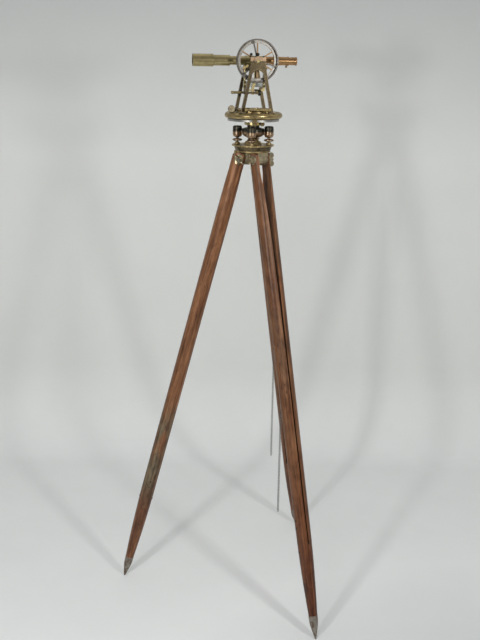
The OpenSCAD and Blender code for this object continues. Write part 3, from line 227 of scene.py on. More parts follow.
def leg_wood(name, joint_name, seed, grey, deep):
    """Varnished red-brown wood with its grain along the leg, and painted shade in its hollows.

    Grey gives where it is worn bare, as the lowest and highest distance from the foot and a strength.
    Deep gives how dark its lower end is."""
    joint = JOINTS[joint_name]
    hinge = Vector(joint["pos_m"])
    across = Vector(joint["axis"])
    foot = foot_of(joint_name.split("_")[0])
    along = (hinge - foot).normalized()
    out = across.cross(along)
    s = Surface(name, **{"Coat Weight": 0.12, "Coat Roughness": 0.27, "Specular IOR Level": 0.26})
    local = s.vec("SUBTRACT", s.place, tuple(foot))
    u, v, w = (s.vec("DOT_PRODUCT", local, tuple(d)) for d in (across, out, along))

    def grain_at(cross, length):
        return s.put("ShaderNodeCombineXYZ", {
            0: s.math("MULTIPLY", u, cross), 1: s.math("MULTIPLY", v, cross),
            2: s.math("ADD", s.math("MULTIPLY", w, length), seed)}).outputs[0]

    streak = s.noise(1.0, 4.0, 0.62, at=grain_at(200.0, 4.5), warp=0.35)
    fibre = s.noise(1.0, 2.0, 0.7, at=grain_at(1300.0, 20.0))
    broad = s.noise(1.0, 3.0, 0.5, at=grain_at(44.0, 3.0), warp=0.9)
    mottle = s.noise(1.0, 4.0, 0.65, at=grain_at(70.0, 24.0), warp=0.4)
    tone = s.math("ADD", s.math("ADD", s.math("MULTIPLY", streak, 0.4), s.math("MULTIPLY", broad, 0.35)),
                  s.math("MULTIPLY", mottle, 0.25))
    wood = s.ramp(tone, (0.37, lin(64, 36, 18)), (0.46, lin(98, 61, 36)), (0.53, lin(121, 80, 51)),
                  (0.63, lin(156, 109, 74)))
    wood = s.mix(s.span(fibre, 0.50, 0.68, 0.0, 0.34), wood, lin(64, 38, 25))
    wood = s.mix(s.span(w, 0.62, 0.16, 0.0, deep), wood, lin(180, 126, 78), "MULTIPLY")
    # Bare, greyed wood where hands and weather have worn the varnish
    low, high, strength = grey
    wear_cloud = s.noise(1.0, 4.0, 0.65, at=grain_at(30.0, 5.5), warp=0.5)
    reach = s.math("MULTIPLY", s.span(w, low, low + 0.10), s.span(w, high, high - 0.12))
    bare = s.math("ADD", s.math("MULTIPLY", reach, strength), 0.05)
    wear = s.math("MULTIPLY", s.span(wear_cloud, 0.36, 0.56), bare)
    worn = s.ramp(s.math("ADD", s.math("MULTIPLY", streak, 0.6), s.math("MULTIPLY", mottle, 0.4)),
                  (0.42, lin(64, 53, 40)), (0.58, lin(112, 98, 76)))
    wood = s.mix(wear, wood, worn)
    rubbed = s.math("MULTIPLY", s.edges(0.0016), s.span(wear_cloud, 0.38, 0.55, 0.2, 0.9))
    wood = s.mix(rubbed, wood, lin(186, 122, 74))
    # Painted shade: the wood is darkened in its hollows, such as the gap between the stiles and under the
    # fittings. The same dark brown also paints real stains in patches.
    dark = s.span(s.hollow(0.014), 0.25, 0.85, 0.9, 0.0)
    stain = s.span(s.noise(1.0, 3.0, 0.6, at=grain_at(26.0, 9.0), warp=0.7), 0.57, 0.70, 0.0, 0.55)
    wood = s.mix(s.math("MAXIMUM", dark, stain), wood, lin(38, 24, 16))
    nick = s.span(s.noise(1.0, 1.0, 0.4, at=grain_at(190.0, 60.0)), 0.70, 0.77)
    s.set("Base Color", s.mix(s.math("MULTIPLY", nick, 0.75), wood, lin(44, 28, 20)))
    s.set("Roughness", s.span(s.math("ADD", wear, s.math("MULTIPLY", fibre, 0.5)), 0.1, 0.9, 0.34, 0.70))
    relief = s.math("ADD", s.math("MULTIPLY", fibre, 0.5), s.math("MULTIPLY", streak, 0.6))
    s.set("Normal", s.bump(s.math("SUBTRACT", relief, s.math("MULTIPLY", nick, 1.4)), 0.4, 0.0007))
    return s.mat


def clear_glass(name, tint, ior=1.45):
    """Glass with a very faint unevenness. An index below 1 is that of air seen from inside a liquid."""
    s = Surface(name, **{"Base Color": tint, "Roughness": 0.02, "IOR": ior, "Transmission Weight": 1.0})
    s.set("Normal", s.bump(s.noise(90.0), 0.03, 0.0002))
    return s.mat


def scale_face(name, light, dark, rough, metallic=0.0):
    """A silvered dial, an enamelled face or the filling of its lines, with faint stains."""
    s = Surface(name, Metallic=metallic)
    stain = s.span(s.noise(48.0, 4.0, 0.6, warp=0.3), 0.42, 0.72)
    s.set("Base Color", s.mix(stain, light, dark))
    s.set("Roughness", s.span(s.noise(300.0, 2.0), 0.3, 0.7, rough - 0.06, rough + 0.08))
    s.set("Normal", s.bump(s.noise(960.0, 2.0), 0.08, 0.0001))
    return s.mat


# Zones of the pieces with two finishes. Each is 1 where the second finish shows.

# The telescope's crossing, and the point of the floor below the plates' axis
SCOPE = Vector(JOINTS["telescope_elevation"]["pos_m"])
AXIS = Vector((SCOPE.x, SCOPE.y, 0))


def beyond(axis, place, soft):
    """1 beyond a place along an axis, with a soft border."""
    def zone(s):
        along = s.put("ShaderNodeSeparateXYZ", {0: s.place}).outputs[axis]
        return s.span(along, place - soft, place + soft)
    return zone


def above(z, soft=0.0006):
    return beyond("Z", z, soft)


def off_axis(r_low, r_high, keep, soft=0.0003):
    """1 between two radii, measured from the telescope's crossing in the directions that are kept."""
    def zone(s):
        off = s.vec("SUBTRACT", s.place, tuple(SCOPE))
        away = s.vec("LENGTH", s.vec("MULTIPLY", off, keep), (0, 0, 0))
        return s.math("MULTIPLY", s.span(away, r_low - soft, r_low + soft),
                      s.span(away, r_high + soft, r_high - soft))
    return zone


# Directions kept when the distance is measured across the floor, or across the vertical circle
FLAT, UPRIGHT = (1, 1, 0), (1, 0, 1)
# Above this height a leg's fittings are the hinge ones, in brass, and below it the dark ones
HINGE_FITTINGS = 1.2
# Silvered band of the vertical circle, and edge of the plate's rim, as radii
CIRCLE_BAND = (0.0492, 0.0546)
PLATE_RIM = (0.0765, 0.2)
# From here on towards the eye the telescope's tube is copper red
COPPER_FROM = SCOPE.x + 0.026
# How far below the next piece the second finish starts, on the tripod head, the spider and the foot plate
HEAD_BORDER, SPIDER_BORDER, FOOT_PLATE_BORDER = 0.0042, 0.004, 0.0046

AGED = metal("aged_brass", OLIVE, rough=0.30, patches=0.4)
BRIGHT = metal("bright_brass", YELLOW, rough=0.25, patches=0.5)
COPPERY = metal("copper_brass", COPPER, rough=0.24, patches=0.5)
ROSY = metal("rosy_brass", PINK, rough=0.28, patches=0.6)
BRONZE = metal("dark_bronze", DARK, rough=0.34, patches=0.55)
SILVER = metal("silvered", WHITE, rough=0.34, patches=0.5)
STEEL = metal("steel", GREY, rough=0.34, patches=0.5)
# The standards' rubbed edges are real wear, drawn wide so that they also paint the bright highlights along their
# edges.
FRAME = metal("standard_brass", BROWN, rough=0.24, patches=0.6, edge_radius=0.0018)
KNOB = metal("knob_brass", STONE, rough=0.3, patches=0.8)
FITTING = metal("leg_brass", DARK, rough=0.28, patches=0.6, edge_radius=0.0009, other=STONE,
                zone=above(HINGE_FITTINGS))
DULL_FITTING = metal("dull_leg_brass", DARK, rough=0.32, patches=0.7, edge_radius=0.0009)
GUARD = metal("guard_bronze", GUNMETAL, rough=0.28, patches=0.5, edge_radius=0.0009)
HEAD = metal("head_casting", STONE, rough=0.36, patches=0.7, other=YELLOW,
             zone=above(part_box("foot_plate")[0][2] - HEAD_BORDER))
SPIDER = metal("spider_casting", PINK, rough=0.27, patches=0.55, other=DARK,
               zone=above(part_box("dust_caps")[0][2] - SPIDER_BORDER, 0.002))
CIRCLE = metal("circle_brass", RUST, rough=0.28, patches=0.55, other=WHITE,
               zone=off_axis(*CIRCLE_BAND, UPRIGHT))
PLATE = metal("plate_brass", OLIVE, rough=0.26, patches=0.6, other=YELLOW,
              zone=off_axis(*PLATE_RIM, FLAT, 0.0008))
TUBE = metal("tube_brass", OLIVE, rough=0.27, patches=0.4, other=COPPER, zone=beyond("X", COPPER_FROM, 0.004))
LOWER_PLATE = metal("foot_plate_brass", BROWN, rough=0.33, patches=0.7, other=YELLOW,
                    zone=above(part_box("leveling_shoes")[0][2] - FOOT_PLATE_BORDER))
SHOE = dull_steel("shoe_steel")
GLASS = clear_glass("clear_glass", (0.93, 0.96, 0.95, 1))
LENS = clear_glass("lens_glass", (0.80, 0.86, 0.88, 1))
BUBBLE = clear_glass("bubble_glass", (1, 1, 1, 1), ior=0.69)
DIAL = scale_face("dial_silver", (0.64, 0.63, 0.60, 1), (0.40, 0.37, 0.31, 1), rough=0.42, metallic=0.6)
ENAMEL = scale_face("vial_backing", (0.93, 0.93, 0.91, 1), (0.82, 0.81, 0.77, 1), rough=0.45)
INK = scale_face("black_filling", (0.012, 0.012, 0.012, 1), (0.03, 0.028, 0.024, 1), rough=0.6)
# For each leg: where its grain starts, where it is worn grey, and how dark its lower end is
LEG_LOOKS = {
    "left": (0.0, (0.27, 0.68, 0.95), 0.25),
    "front": (7.3, (0.55, 1.6, 0.16), 0.8),
    "rear": (15.1, (0.5, 1.6, 0.2), 0.7),
}
WOODS = {leg: leg_wood(leg + "_leg_wood", leg + "_leg_fold", *look) for leg, look in LEG_LOOKS.items()}

NODE_FINISH = {
    AGED: "lower_clamp clamp_arm objective_slide sunshade telescope_level",
    FRAME: "near_standard far_standard",
    HEAD: "tripod_head",
    LOWER_PLATE: "foot_plate",
    SPIDER: "spider",
    PLATE: "vernier_plate",
    TUBE: "telescope_tube",
    ROSY: "bearing_caps left_leveling_screw right_leveling_screw front_leveling_screw "
          "rear_leveling_screw",
    BRIGHT: "plumb_hook leveling_shoes ball_bush lower_clamp_screw lower_tangent_screw plate_clamp_screw "
            "compass_box front_plate_level side_plate_level circle_vernier spring_barrel "
            "vertical_clamp_screw focus_knob",
    COPPERY: "eyepiece",
    BRONZE: "dust_caps cap_screws vertical_tangent_screw compass_needle",
    FITTING: "left_leg_fittings front_leg_fittings",
    DULL_FITTING: "rear_leg_fittings",
    GUARD: "circle_guard",
    SILVER: "lower_limb",
    CIRCLE: "vertical_circle",
    KNOB: "plate_tangent_screw",
    STEEL: "spring_plunger front_chain rear_chain",
    GLASS: "compass_glass plate_vials telescope_vial",
    LENS: "objective_lens eye_lens",
}


def finish_node(name, material):
    mesh = frame["nodes"][name].data
    mesh.materials.clear()
    mesh.materials.append(material)


def dress_nodes():
    for material, names in NODE_FINISH.items():
        for name in names.split():
            finish_node(name, material)
    for leg, material in WOODS.items():
        for side in ("near", "far"):
            finish_node(f"{leg}_leg_{side}_stile", material)


# Builders of small pieces. Sizes are in millimetres, in a place of their own whose Z is the turning axis.

X, Y, Z = Vector((1, 0, 0)), Vector((0, 1, 0)), Vector((0, 0, 1))


def spot(x, y, z, up=Z, spin=0.0):
    """Place in mm from the instrument's axis and the floor, with its own Z along up."""
    turn = up.normalized().to_track_quat("Z", "Y").to_matrix().to_4x4()
    return Matrix.Translation((AXIS.x + x * MM, AXIS.y + y * MM, z * MM)) @ turn @ Matrix.Rotation(
        math.radians(spin), 4, "Z") @ Matrix.Scale(MM, 4)


def on_scope(x, y, z, up=Z, spin=0.0):
    """Place in mm from the telescope's crossing."""
    return spot(x, y, z + SCOPE.z / MM, up, spin)


def turned(profile, steps):
    """Surface turned about Z from (radius, height) points. A radius of 0 closes it."""
    verts, faces, rings = [], [], []
    for r, z in profile:
        first = len(verts)
        if r < 1e-6:
            verts.append((0, 0, z))
            rings.append([first] * steps)
        else:
            verts += [(r * math.cos(2 * math.pi * i / steps), r * math.sin(2 * math.pi * i / steps), z)
                      for i in range(steps)]
            rings.append([first + i for i in range(steps)])
    for low, high in zip(rings, rings[1:]):
        for i in range(steps):
            k = (i + 1) % steps
            face = []
            for v in (low[i], low[k], high[k], high[i]):
                if v not in face:
                    face.append(v)
            if len(face) > 2:
                faces.append(face)
    return verts, faces


def knurl(r, low, high, teeth, deep, rows=1):
    """Band of pointed teeth round Z. With rows above 1 the teeth are crossed like cut diamonds."""
    verts, faces = [], []
    levels = 2 * rows + 1
    for j in range(levels + 1):
        z = low + (high - low) * min(max(j - 0.5, 0), levels - 1) / (levels - 1)
        for i in range(2 * teeth):
            a = math.pi * i / teeth
            proud = deep if (i + (j if rows > 1 else 0)) % 2 else 0.0
            if j in (0, levels):
                proud = -0.15
            verts.append(((r + proud) * math.cos(a), (r + proud) * math.sin(a), z))
    for j in range(levels):
        here, next_row = j * 2 * teeth, (j + 1) * 2 * teeth
        for i in range(2 * teeth):
            k = (i + 1) % (2 * teeth)
            faces.append((here + i, here + k, next_row + k, next_row + i))
    return verts, faces


def thread(r, low, high, pitch, deep, steps=20):
    """Ridge that winds round Z, its foot just inside the rod."""
    verts, faces = [], []
    count = int((high - low) / pitch * steps)
    for i in range(count + 1):
        a = 2 * math.pi * i / steps
        z = low + pitch * i / steps
        fade = min(1.0, i / steps, (count - i) / steps)
        for radius, lift in ((r - 0.1, -0.36), (r - 0.1 + (deep + 0.1) * fade, 0.0), (r - 0.1, 0.36)):
            verts.append((radius * math.cos(a), radius * math.sin(a), z + lift * pitch))
    for i in range(count):
        for j in (0, 1):
            faces.append((3 * i + j, 3 * i + 3 + j, 3 * i + 4 + j, 3 * i + 1 + j))
    return verts, faces


def block(x0, y0, z0, x1, y1, z1):
    """Box between two corners."""
    verts = [(x, y, z) for z in (z0, z1) for x, y in ((x0, y0), (x1, y0), (x1, y1), (x0, y1))]
    faces = [(3, 2, 1, 0)] + [(i, (i + 1) % 4, 4 + (i + 1) % 4, 4 + i) for i in range(4)]
    return verts, faces + [(4, 5, 6, 7)]


def sector(r0, r1, low, high, a0, a1, step=2.0):
    """Flat segment of a ring round Z, between two angles in degrees."""
    count = max(1, int(abs(a1 - a0) / step))
    verts, faces = [], []
    for i in range(count + 1):
        a = math.radians(a0 + (a1 - a0) * i / count)
        for r, z in ((r0, low), (r1, low), (r1, high), (r0, high)):
            verts.append((r * math.cos(a), r * math.sin(a), z))
    for i in range(count):
        for j in range(4):
            k = (j + 1) % 4
            faces.append((4 * i + j, 4 * i + 4 + j, 4 * i + 4 + k, 4 * i + k))
    end = 4 * count
    return verts, faces + [(3, 2, 1, 0), (end, end + 1, end + 2, end + 3)]


def divisions(r0, lengths, low, high, a0, a1, step, wide):
    """Short bars that stand round Z. Lengths gives (every, length) pairs, the longest last."""
    verts, faces = [], []
    for i in range(int(round((a1 - a0) / step)) + 1):
        a = a0 + i * step
        if a1 - a0 >= 360 and i * step >= 360:
            break
        ends = sorted((r0, r0 + [size for every, size in lengths if i % every == 0][-1]))
        bar = block(ends[0], -wide / 2, low, ends[1], wide / 2, high)
        turn = Matrix.Rotation(math.radians(a), 4, "Z")
        faces += [[v + len(verts) for v in face] for face in bar[1]]
        verts += [tuple(turn @ Vector(v)) for v in bar[0]]
    return verts, faces


def digits(text, size, r, angle, low):
    """Raised number that reads outwards from Z, at a radius and an angle."""
    curve = bpy.data.curves.new("digits", "FONT")
    curve.body = text
    curve.size = size
    curve.align_x, curve.align_y = "CENTER", "CENTER"
    curve.extrude = 0.03
    curve.resolution_u = 3
    held = bpy.data.objects.new("digits", curve)
    mesh = bpy.data.meshes.new_from_object(held)
    place = Matrix.Rotation(math.radians(angle - 90), 4, "Z") @ Matrix.Translation((0, r, low))
    shape = ([tuple(place @ v.co) for v in mesh.vertices], [tuple(f.vertices) for f in mesh.polygons])
    bpy.data.objects.remove(held)
    bpy.data.curves.remove(curve)
    bpy.data.meshes.remove(mesh)
    return shape


def slotted(r, high, wide, dome):
    """Head of a slotted screw: two halves with the slot between them, and its floor."""
    verts, faces = [], []
    for side in (0, 180):
        a = math.degrees(math.asin(wide / 2 / r))
        arc = [math.radians(side + a + (180 - 2 * a) * i / 12) for i in range(13)]
        first = len(verts)
        verts += [(r * math.cos(t), r * math.sin(t), 0) for t in arc]
        verts += [(r * math.cos(t), r * math.sin(t), high - dome) for t in arc]
        inner = (r - dome) / r
        for t in arc:
            keeps_slot = abs(math.sin(t)) * r <= wide
            verts.append((r * inner * math.cos(t), (r if keeps_slot else r * inner) * math.sin(t), high))
        for level in (0, 13):
            for i in range(13):
                k = (i + 1) % 13
                faces.append([first + level + v for v in (i, k, 13 + k, 13 + i)])
        faces.append([first + 26 + i for i in range(13)])
    floor = turned([(0, high * 0.45), (r * 0.96, high * 0.45), (r * 0.96, 0)], 24)
    faces += [[v + len(verts) for v in reversed(face)] for face in floor[1]]
    return verts + floor[0], faces


# Angle above which an edge of a small piece is drawn sharp
SHARP_ANGLE = math.radians(34)


def piece(name, body, material, shapes):
    """Makes one object from (place, (vertices, faces)) pairs, that rides on a body."""
    verts, faces = [], []
    for place, (points, sides) in shapes:
        faces += [[v + len(verts) for v in side] for side in sides]
        verts += [tuple(place @ Vector(point)) for point in points]
    mesh = bpy.data.meshes.new(name)
    mesh.from_pydata(verts, [], faces)
    mesh.validate()
    mesh.polygons.foreach_set("use_smooth", [True] * len(mesh.polygons))
    mesh.set_sharp_from_angle(angle=SHARP_ANGLE)
    mesh.materials.append(material)
    thing = bpy.data.objects.new(name, mesh)
    bpy.context.scene.collection.objects.link(thing)
    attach(thing, body)
    return thing


# Small pieces. Their heights come from the frame, and other sizes are those of the solids that they sit on.

# Radius and height of a leg's shoe in mm, from its point to its upper edge
SHOE_PROFILE = [(0, 0.2), (1.9, 0.6), (2.9, 3.0), (4.1, 8.0), (6.0, 16.0), (8.2, 25.0), (10.3, 34.0),
                (12.2, 43.0), (13.5, 52.0), (14.0, 60.0), (14.1, 68.0), (14.1, 74.6), (13.7, 75.9),
                (13.2, 76.0), (10.6, 76.0)]
# Radius of the circle of levelling screws
SCREW_CIRCLE_R = 47
# Height of a levelling screw's disc above the foot plate
DISC_HEIGHT = 9.3
# Radius of a dust cap, and the outlines of the raised ring round it and of its crown
CAP_R = 13.5
CAP_RING = [(13.4, 6.0), (13.8, 6.3), (13.8, 6.9), (13.4, 7.2)]
CAP_CROWN = [(0, 13.7), (2.2, 13.5), (3.0, 12.9)]
# Knurled band of each knob in mm: its radius, and where it starts and ends along the screw
PLATE_TANGENT_BAND = (10.0, 6.1, 9.4)
VERTICAL_TANGENT_BAND = (8.5, 6.8, 12.6)
LOWER_TANGENT_BAND = (6.2, 26.1, 31.9)
LOWER_CLAMP_BAND = (6.2, 40.1, 45.9)
PLATE_CLAMP_BAND = (7.0, 85.2, 89.8)
VERTICAL_CLAMP_BAND = (7.5, 32.2, 36.8)
FOCUS_BAND = (9.0, 24.7, 29.3)
# Radius of the tangent screws, and the pitch and height of their thread
TANGENT_R, TANGENT_PITCH, TANGENT_RIDGE = 2.1, 0.8, 0.2
# Stretches of the two tangent screws where their thread shows
PLATE_TANGENT_THREADS = ((-4.8, -0.3), (-14.5, -7.4))
LOWER_TANGENT_THREAD = (19.2, 24.6)
# Height of the plate tangent screw above the plate, and reach of the lower tangent screw from the axis
PLATE_TANGENT_RISE = 10.5
LOWER_TANGENT_REACH = 42
# Vertical circle: radii of its lines and numbers, and radius and angles of its vernier's lines
CIRCLE_LINES_R, CIRCLE_NUMBERS_R = 49.5, 53.1
CIRCLE_VERNIER_R, CIRCLE_VERNIER_ARC = 48.0, (192.5, 219.5)
# Vernier windows in the plate: directions in degrees, radii, and half of the angle that the glass takes
WINDOW_TURNS = (148, 328)
WINDOW_R0, WINDOW_R1 = 64.05, 74.95
WINDOW_HALF = 12.9
# Half of the angles that a window's frame takes outside and inside
FRAME_HALF, FRAME_BAR = 14.2, 13.0
# Under the glass: floor and top of the silvered scales, where limb and vernier meet, and for each of them
# the radii of its lines and numbers
SCALE_FLOOR, SCALE_TOP = -3.02, -1.3
LIMB_FROM, VERNIER_TO = 69.7, 69.5
LIMB_LINES_R, LIMB_NUMBERS_R = 69.8, 73.3
VERNIER_LINES_R, VERNIER_NUMBERS_R = 69.4, 65.9
# Foot and top of a black line, from the face that it stands on
LINE_Z = (-0.05, 0.05)
# Compass: heights of the dial and the degree ring above the plate, and their outer radii
DIAL_Z, DEGREE_Z = 2.2, 5.2
DIAL_R, DEGREE_R = 41.4, 45.9
# Radii of the degree ring's lines and numbers, and inner radius, outer radius and step in degrees of the
# two thin circles round the star
DEGREE_LINES_R, DEGREE_NUMBERS_R = 41.9, 44.8
STAR_CIRCLES = ((35.2, 35.5, 3.0), (7.0, 7.3, 10.0))
# Radii of the long vial and of the plate vials
LONG_VIAL_R, PLATE_VIAL_R = 8.0, 3.5
# Heights of the plate vials above the plate, place of the front one along the telescope, and how far the
# side one lies from the middle of its level
FRONT_VIAL_RISE, SIDE_VIAL_RISE = 10.4, 7.8
FRONT_VIAL_X, SIDE_VIAL_OFF = 14, 7.5
# Bearing screws: their distance from the crossing along and across the telescope, and above it
CAP_SCREW_X, CAP_SCREW_Y, CAP_SCREW_Z = 16.5, 59, 12.4
# Capstan screws round the telescope: their place along it, distance of their holes from its axis, and
# how far from a screw's own axis its holes open
CAPSTAN_X, CAPSTAN_REACH, CAPSTAN_HALF = 58, 14.8, 2.78
# Hinge bolt of a leg: radius, and where its threaded end starts and ends
BOLT_R, BOLT_FROM, BOLT_TO = 4.0, 41.6, 44.2
# Radii of the telescope's barrel, its collar, the main tube, the sleeve at the eye end and the sunshade
BARREL_R, COLLAR_R, TUBE_R, SLEEVE_R, SUNSHADE_R = 15.0, 15.5, 12.25, 11.9, 17.5

PLATE_TOP = JOINTS["plate_turn"]["pos_m"][2] / MM
HEAD_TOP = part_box("leveling_shoes")[0][2] / MM
CAP_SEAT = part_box("dust_caps")[0][2] / MM
CLAMP_Z = JOINTS["lower_clamp_turn"]["pos_m"][2] / MM
ARM_Y = (JOINTS["vertical_slow_motion"]["pos_m"][1] - AXIS.y) / MM
TANGENT_Z = sum(c[2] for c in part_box("spring_plunger")) / 2 / MM
CIRCLE_FACE = (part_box("vertical_circle")[0][1] - AXIS.y) / MM
HEAD_TURN = math.degrees(math.atan2(*reversed(JOINTS["head_tilt_lengthways"]["axis"][:2])))


def middle(node):
    """Middle of a node's box across the floor, in mm from the instrument's axis."""
    low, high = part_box(node)
    return (low[0] + high[0]) / 2 / MM - AXIS.x / MM, (low[1] + high[1]) / 2 / MM - AXIS.y / MM


def direction(joint):
    """Direction of a joint's axis."""
    return Vector(JOINTS[joint]["axis"])


def leveling_details():
    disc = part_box("left_leveling_screw")
    disc_z = HEAD_TOP + DISC_HEIGHT
    radius = (disc[1][0] - disc[0][0]) / 2 / MM
    for side in ("left", "right", "front", "rear"):
        x, y = middle(side + "_leveling_screw")
        piece(side + "_disc_knurl", side + "_leveling_screw", ROSY,
              [(spot(x, y, disc_z), knurl(radius, 1.9, 5.1, 48, 0.32, 2))])
    rings = []
    for i in range(4):
        a = math.radians(HEAD_TURN + 90 * i)
        place = spot(SCREW_CIRCLE_R * math.cos(a), SCREW_CIRCLE_R * math.sin(a), CAP_SEAT)
        rings += [(place, knurl(CAP_R, 1.2, 4.6, 44, 0.3)),
                  (place, turned(CAP_RING, 48)), (place, turned(CAP_CROWN, 24))]
    piece("dust_cap_knurls", "leveling_head", BRONZE, rings)


def knob_grips():
    tangent_y = (JOINTS["plate_tangent_turn"]["pos_m"][1] - AXIS.y) / MM
    tangent_x = (JOINTS["plate_tangent_turn"]["pos_m"][0] - AXIS.x) / MM
    at_plate = spot(tangent_x, tangent_y, PLATE_TOP + PLATE_TANGENT_RISE, -Y)
    ridge = (TANGENT_PITCH, TANGENT_RIDGE)
    shapes = [knurl(*PLATE_TANGENT_BAND, 40, 0.35, 2)]
    shapes += [thread(TANGENT_R, *stretch, *ridge) for stretch in PLATE_TANGENT_THREADS]
    shapes.append(turned([(0, 12.7), (1.6, 12.5), (2.4, 12.4)], 24))
    piece("plate_tangent_grip", "plate_tangent_screw", KNOB,
          [(at_plate, shape) for shape in shapes])
    at_arm = on_scope(0, ARM_Y, TANGENT_Z - SCOPE.z / MM, X)
    piece("vertical_tangent_grip", "vertical_tangent_screw", BRONZE, [
        (at_arm, knurl(*VERTICAL_TANGENT_BAND, 36, 0.28, 3))])
    at_lower = spot(0, LOWER_TANGENT_REACH, CLAMP_Z, X)
    piece("lower_tangent_grip", "lower_tangent_screw", BRIGHT, [
        (at_lower, knurl(*LOWER_TANGENT_BAND, 28, 0.3, 3)),
        (at_lower, thread(TANGENT_R, *LOWER_TANGENT_THREAD, *ridge))])
    plate_clamp_z = JOINTS["plate_clamp_turn"]["pos_m"][2] / MM
    for name, y, z, band, teeth, rows in (
            ("lower_clamp", 0, CLAMP_Z, LOWER_CLAMP_BAND, 28, 3),
            ("plate_clamp", 0, plate_clamp_z, PLATE_CLAMP_BAND, 30, 2),
            ("vertical_clamp", ARM_Y, SCOPE.z / MM, VERTICAL_CLAMP_BAND, 32, 2)):
        place = spot(0, y, z, direction(name + "_turn"))
        band_shape = knurl(*band, teeth, 0.3, rows)
        piece(name + "_grip", name + "_screw", BRIGHT, [(place, band_shape)])
    focus_x = (JOINTS["focus_knob_turn"]["pos_m"][0] - AXIS.x) / MM
    piece("focus_grip", "focus_knob", BRIGHT,
          [(on_scope(focus_x, 0, 0, Y), knurl(*FOCUS_BAND, 36, 0.32, 2))])


def quadrant_numbers():
    """(Angle, number) pairs each 10 degrees: from 0 up to 90 and down again, twice round the circle."""
    return [(i * 10, str(min(i % 18, 18 - i % 18) * 10)) for i in range(36)]


def circle_scale():
    """Divisions and numbers of the vertical circle, and those of its vernier."""
    face = on_scope(0, CIRCLE_FACE, 0, -Y)
    marks = [(face, divisions(CIRCLE_LINES_R, ((1, 1.1), (5, 1.7), (10, 2.3)), *LINE_Z, 0, 360, 1, 0.14))]
    marks += [(face, digits(number, 1.9, CIRCLE_NUMBERS_R, angle, 0.02))
              for angle, number in quadrant_numbers()]
    piece("circle_divisions", "telescope", INK, marks)
    vernier = on_scope(0, (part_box("circle_vernier")[0][1] - AXIS.y) / MM, 0, -Y)
    lines = divisions(CIRCLE_VERNIER_R, ((1, -1.2), (5, -1.8), (10, -2.4)), *LINE_Z,
                      *CIRCLE_VERNIER_ARC, 0.9, 0.12)
    piece("circle_vernier_divisions", "alidade", INK, [(vernier, lines)])


def vernier_windows():
    """Silvered limb and vernier behind glass in both windows of the plate, with a frame round each."""
    silver, ink, glass, frames = [], [], [], []
    line_z = (SCALE_TOP - 0.02, SCALE_TOP + 0.05)
    opening = (-WINDOW_HALF, WINDOW_HALF)
    for turn in WINDOW_TURNS:
        place = spot(0, 0, PLATE_TOP, Z, turn)
        silver += [(place, sector(LIMB_FROM, WINDOW_R1, SCALE_FLOOR, SCALE_TOP, *opening)),
                   (place, sector(WINDOW_R0, VERNIER_TO, SCALE_FLOOR, SCALE_TOP, *opening))]
        limb = divisions(LIMB_LINES_R, ((1, 1.0), (2, 1.6), (10, 2.3)), *line_z, -12.5, 12.5, 0.5, 0.12)
        vernier = divisions(VERNIER_LINES_R, ((1, -1.0), (5, -1.5), (10, -2.2)), *line_z,
                            -9.8, 9.8, 0.49, 0.12)
        ink += [(place, limb), (place, vernier)]
        for i in range(-2, 3):
            degree, minute = str((turn + 5 * i) % 360), str(abs(10 * i))
            ink.append((place, digits(degree, 1.9, LIMB_NUMBERS_R, 5 * i, SCALE_TOP + 0.02)))
            ink.append((place, digits(minute, 1.6, VERNIER_NUMBERS_R, 4.9 * i, SCALE_TOP + 0.02)))
        glass.append((place, sector(WINDOW_R0, WINDOW_R1, -0.75, -0.15, *opening)))
        for r0, r1, start, end in (
                (62.7, 64.0, -FRAME_HALF, FRAME_HALF), (75.0, 76.3, -FRAME_HALF, FRAME_HALF),
                (64.0, 75.0, -FRAME_HALF, -FRAME_BAR), (64.0, 75.0, FRAME_BAR, FRAME_HALF)):
            frames.append((place, sector(r0, r1, -0.05, 0.6, start, end)))
    piece("window_scales", "alidade", DIAL, silver)
    piece("window_divisions", "alidade", INK, ink)
    piece("window_glass", "alidade", GLASS, glass)
    piece("window_frames", "alidade", BRIGHT, frames)


def star_points():
    """Half points of a compass star, four long and four short, as flat triangles."""
    verts, faces = [], []
    for length, shoulder_r, start in ((33.0, 10.5, 0), (23.0, 9.0, 45)):
        for i in range(4):
            a = math.radians(start + 90 * i)
            first = len(verts)
            for r, lead in ((7.5, 0), (shoulder_r, 45), (length, 0)):
                t = a + math.radians(lead)
                verts.append((r * math.cos(t), r * math.sin(t), DIAL_Z + 0.04))
            faces.append((first, first + 2, first + 1))
    return verts, faces


def compass_face():
    """Silvered dial with a pointed star, and the raised ring with its degrees."""
    place = spot(0, 0, PLATE_TOP)
    piece("compass_dial", "alidade", DIAL, [
        (place, turned([(5.2, 2.02), (5.2, DIAL_Z), (DIAL_R, DIAL_Z), (DIAL_R, 2.02)], 96)),
        (place, turned([(41.5, 2.02), (41.5, 5.0), (41.7, DEGREE_Z), (DEGREE_R, DEGREE_Z)], 128))])
    line_z = (DIAL_Z - 0.05, DIAL_Z + 0.06)
    degree_z = (DEGREE_Z - 0.05, DEGREE_Z + 0.06)
    shapes = [star_points()] + [sector(r0, r1, *line_z, 0, 360, step) for r0, r1, step in STAR_CIRCLES]
    shapes.append(divisions(DEGREE_LINES_R, ((1, 0.8), (5, 1.2), (10, 1.7)), *degree_z, 0, 360, 1, 0.12))
    shapes += [digits(number, 1.75, DEGREE_NUMBERS_R, angle, DEGREE_Z + 0.02)
               for angle, number in quadrant_numbers()]
    ink = [(place, shape) for shape in shapes]
    piece("compass_divisions", "alidade", INK, ink)
    piece("needle_cap", "compass_needle", BRIGHT,
          [(place, turned([(2.3, 6.1), (2.3, 6.5), (1.4, 6.75), (0, 6.8)], 32))])


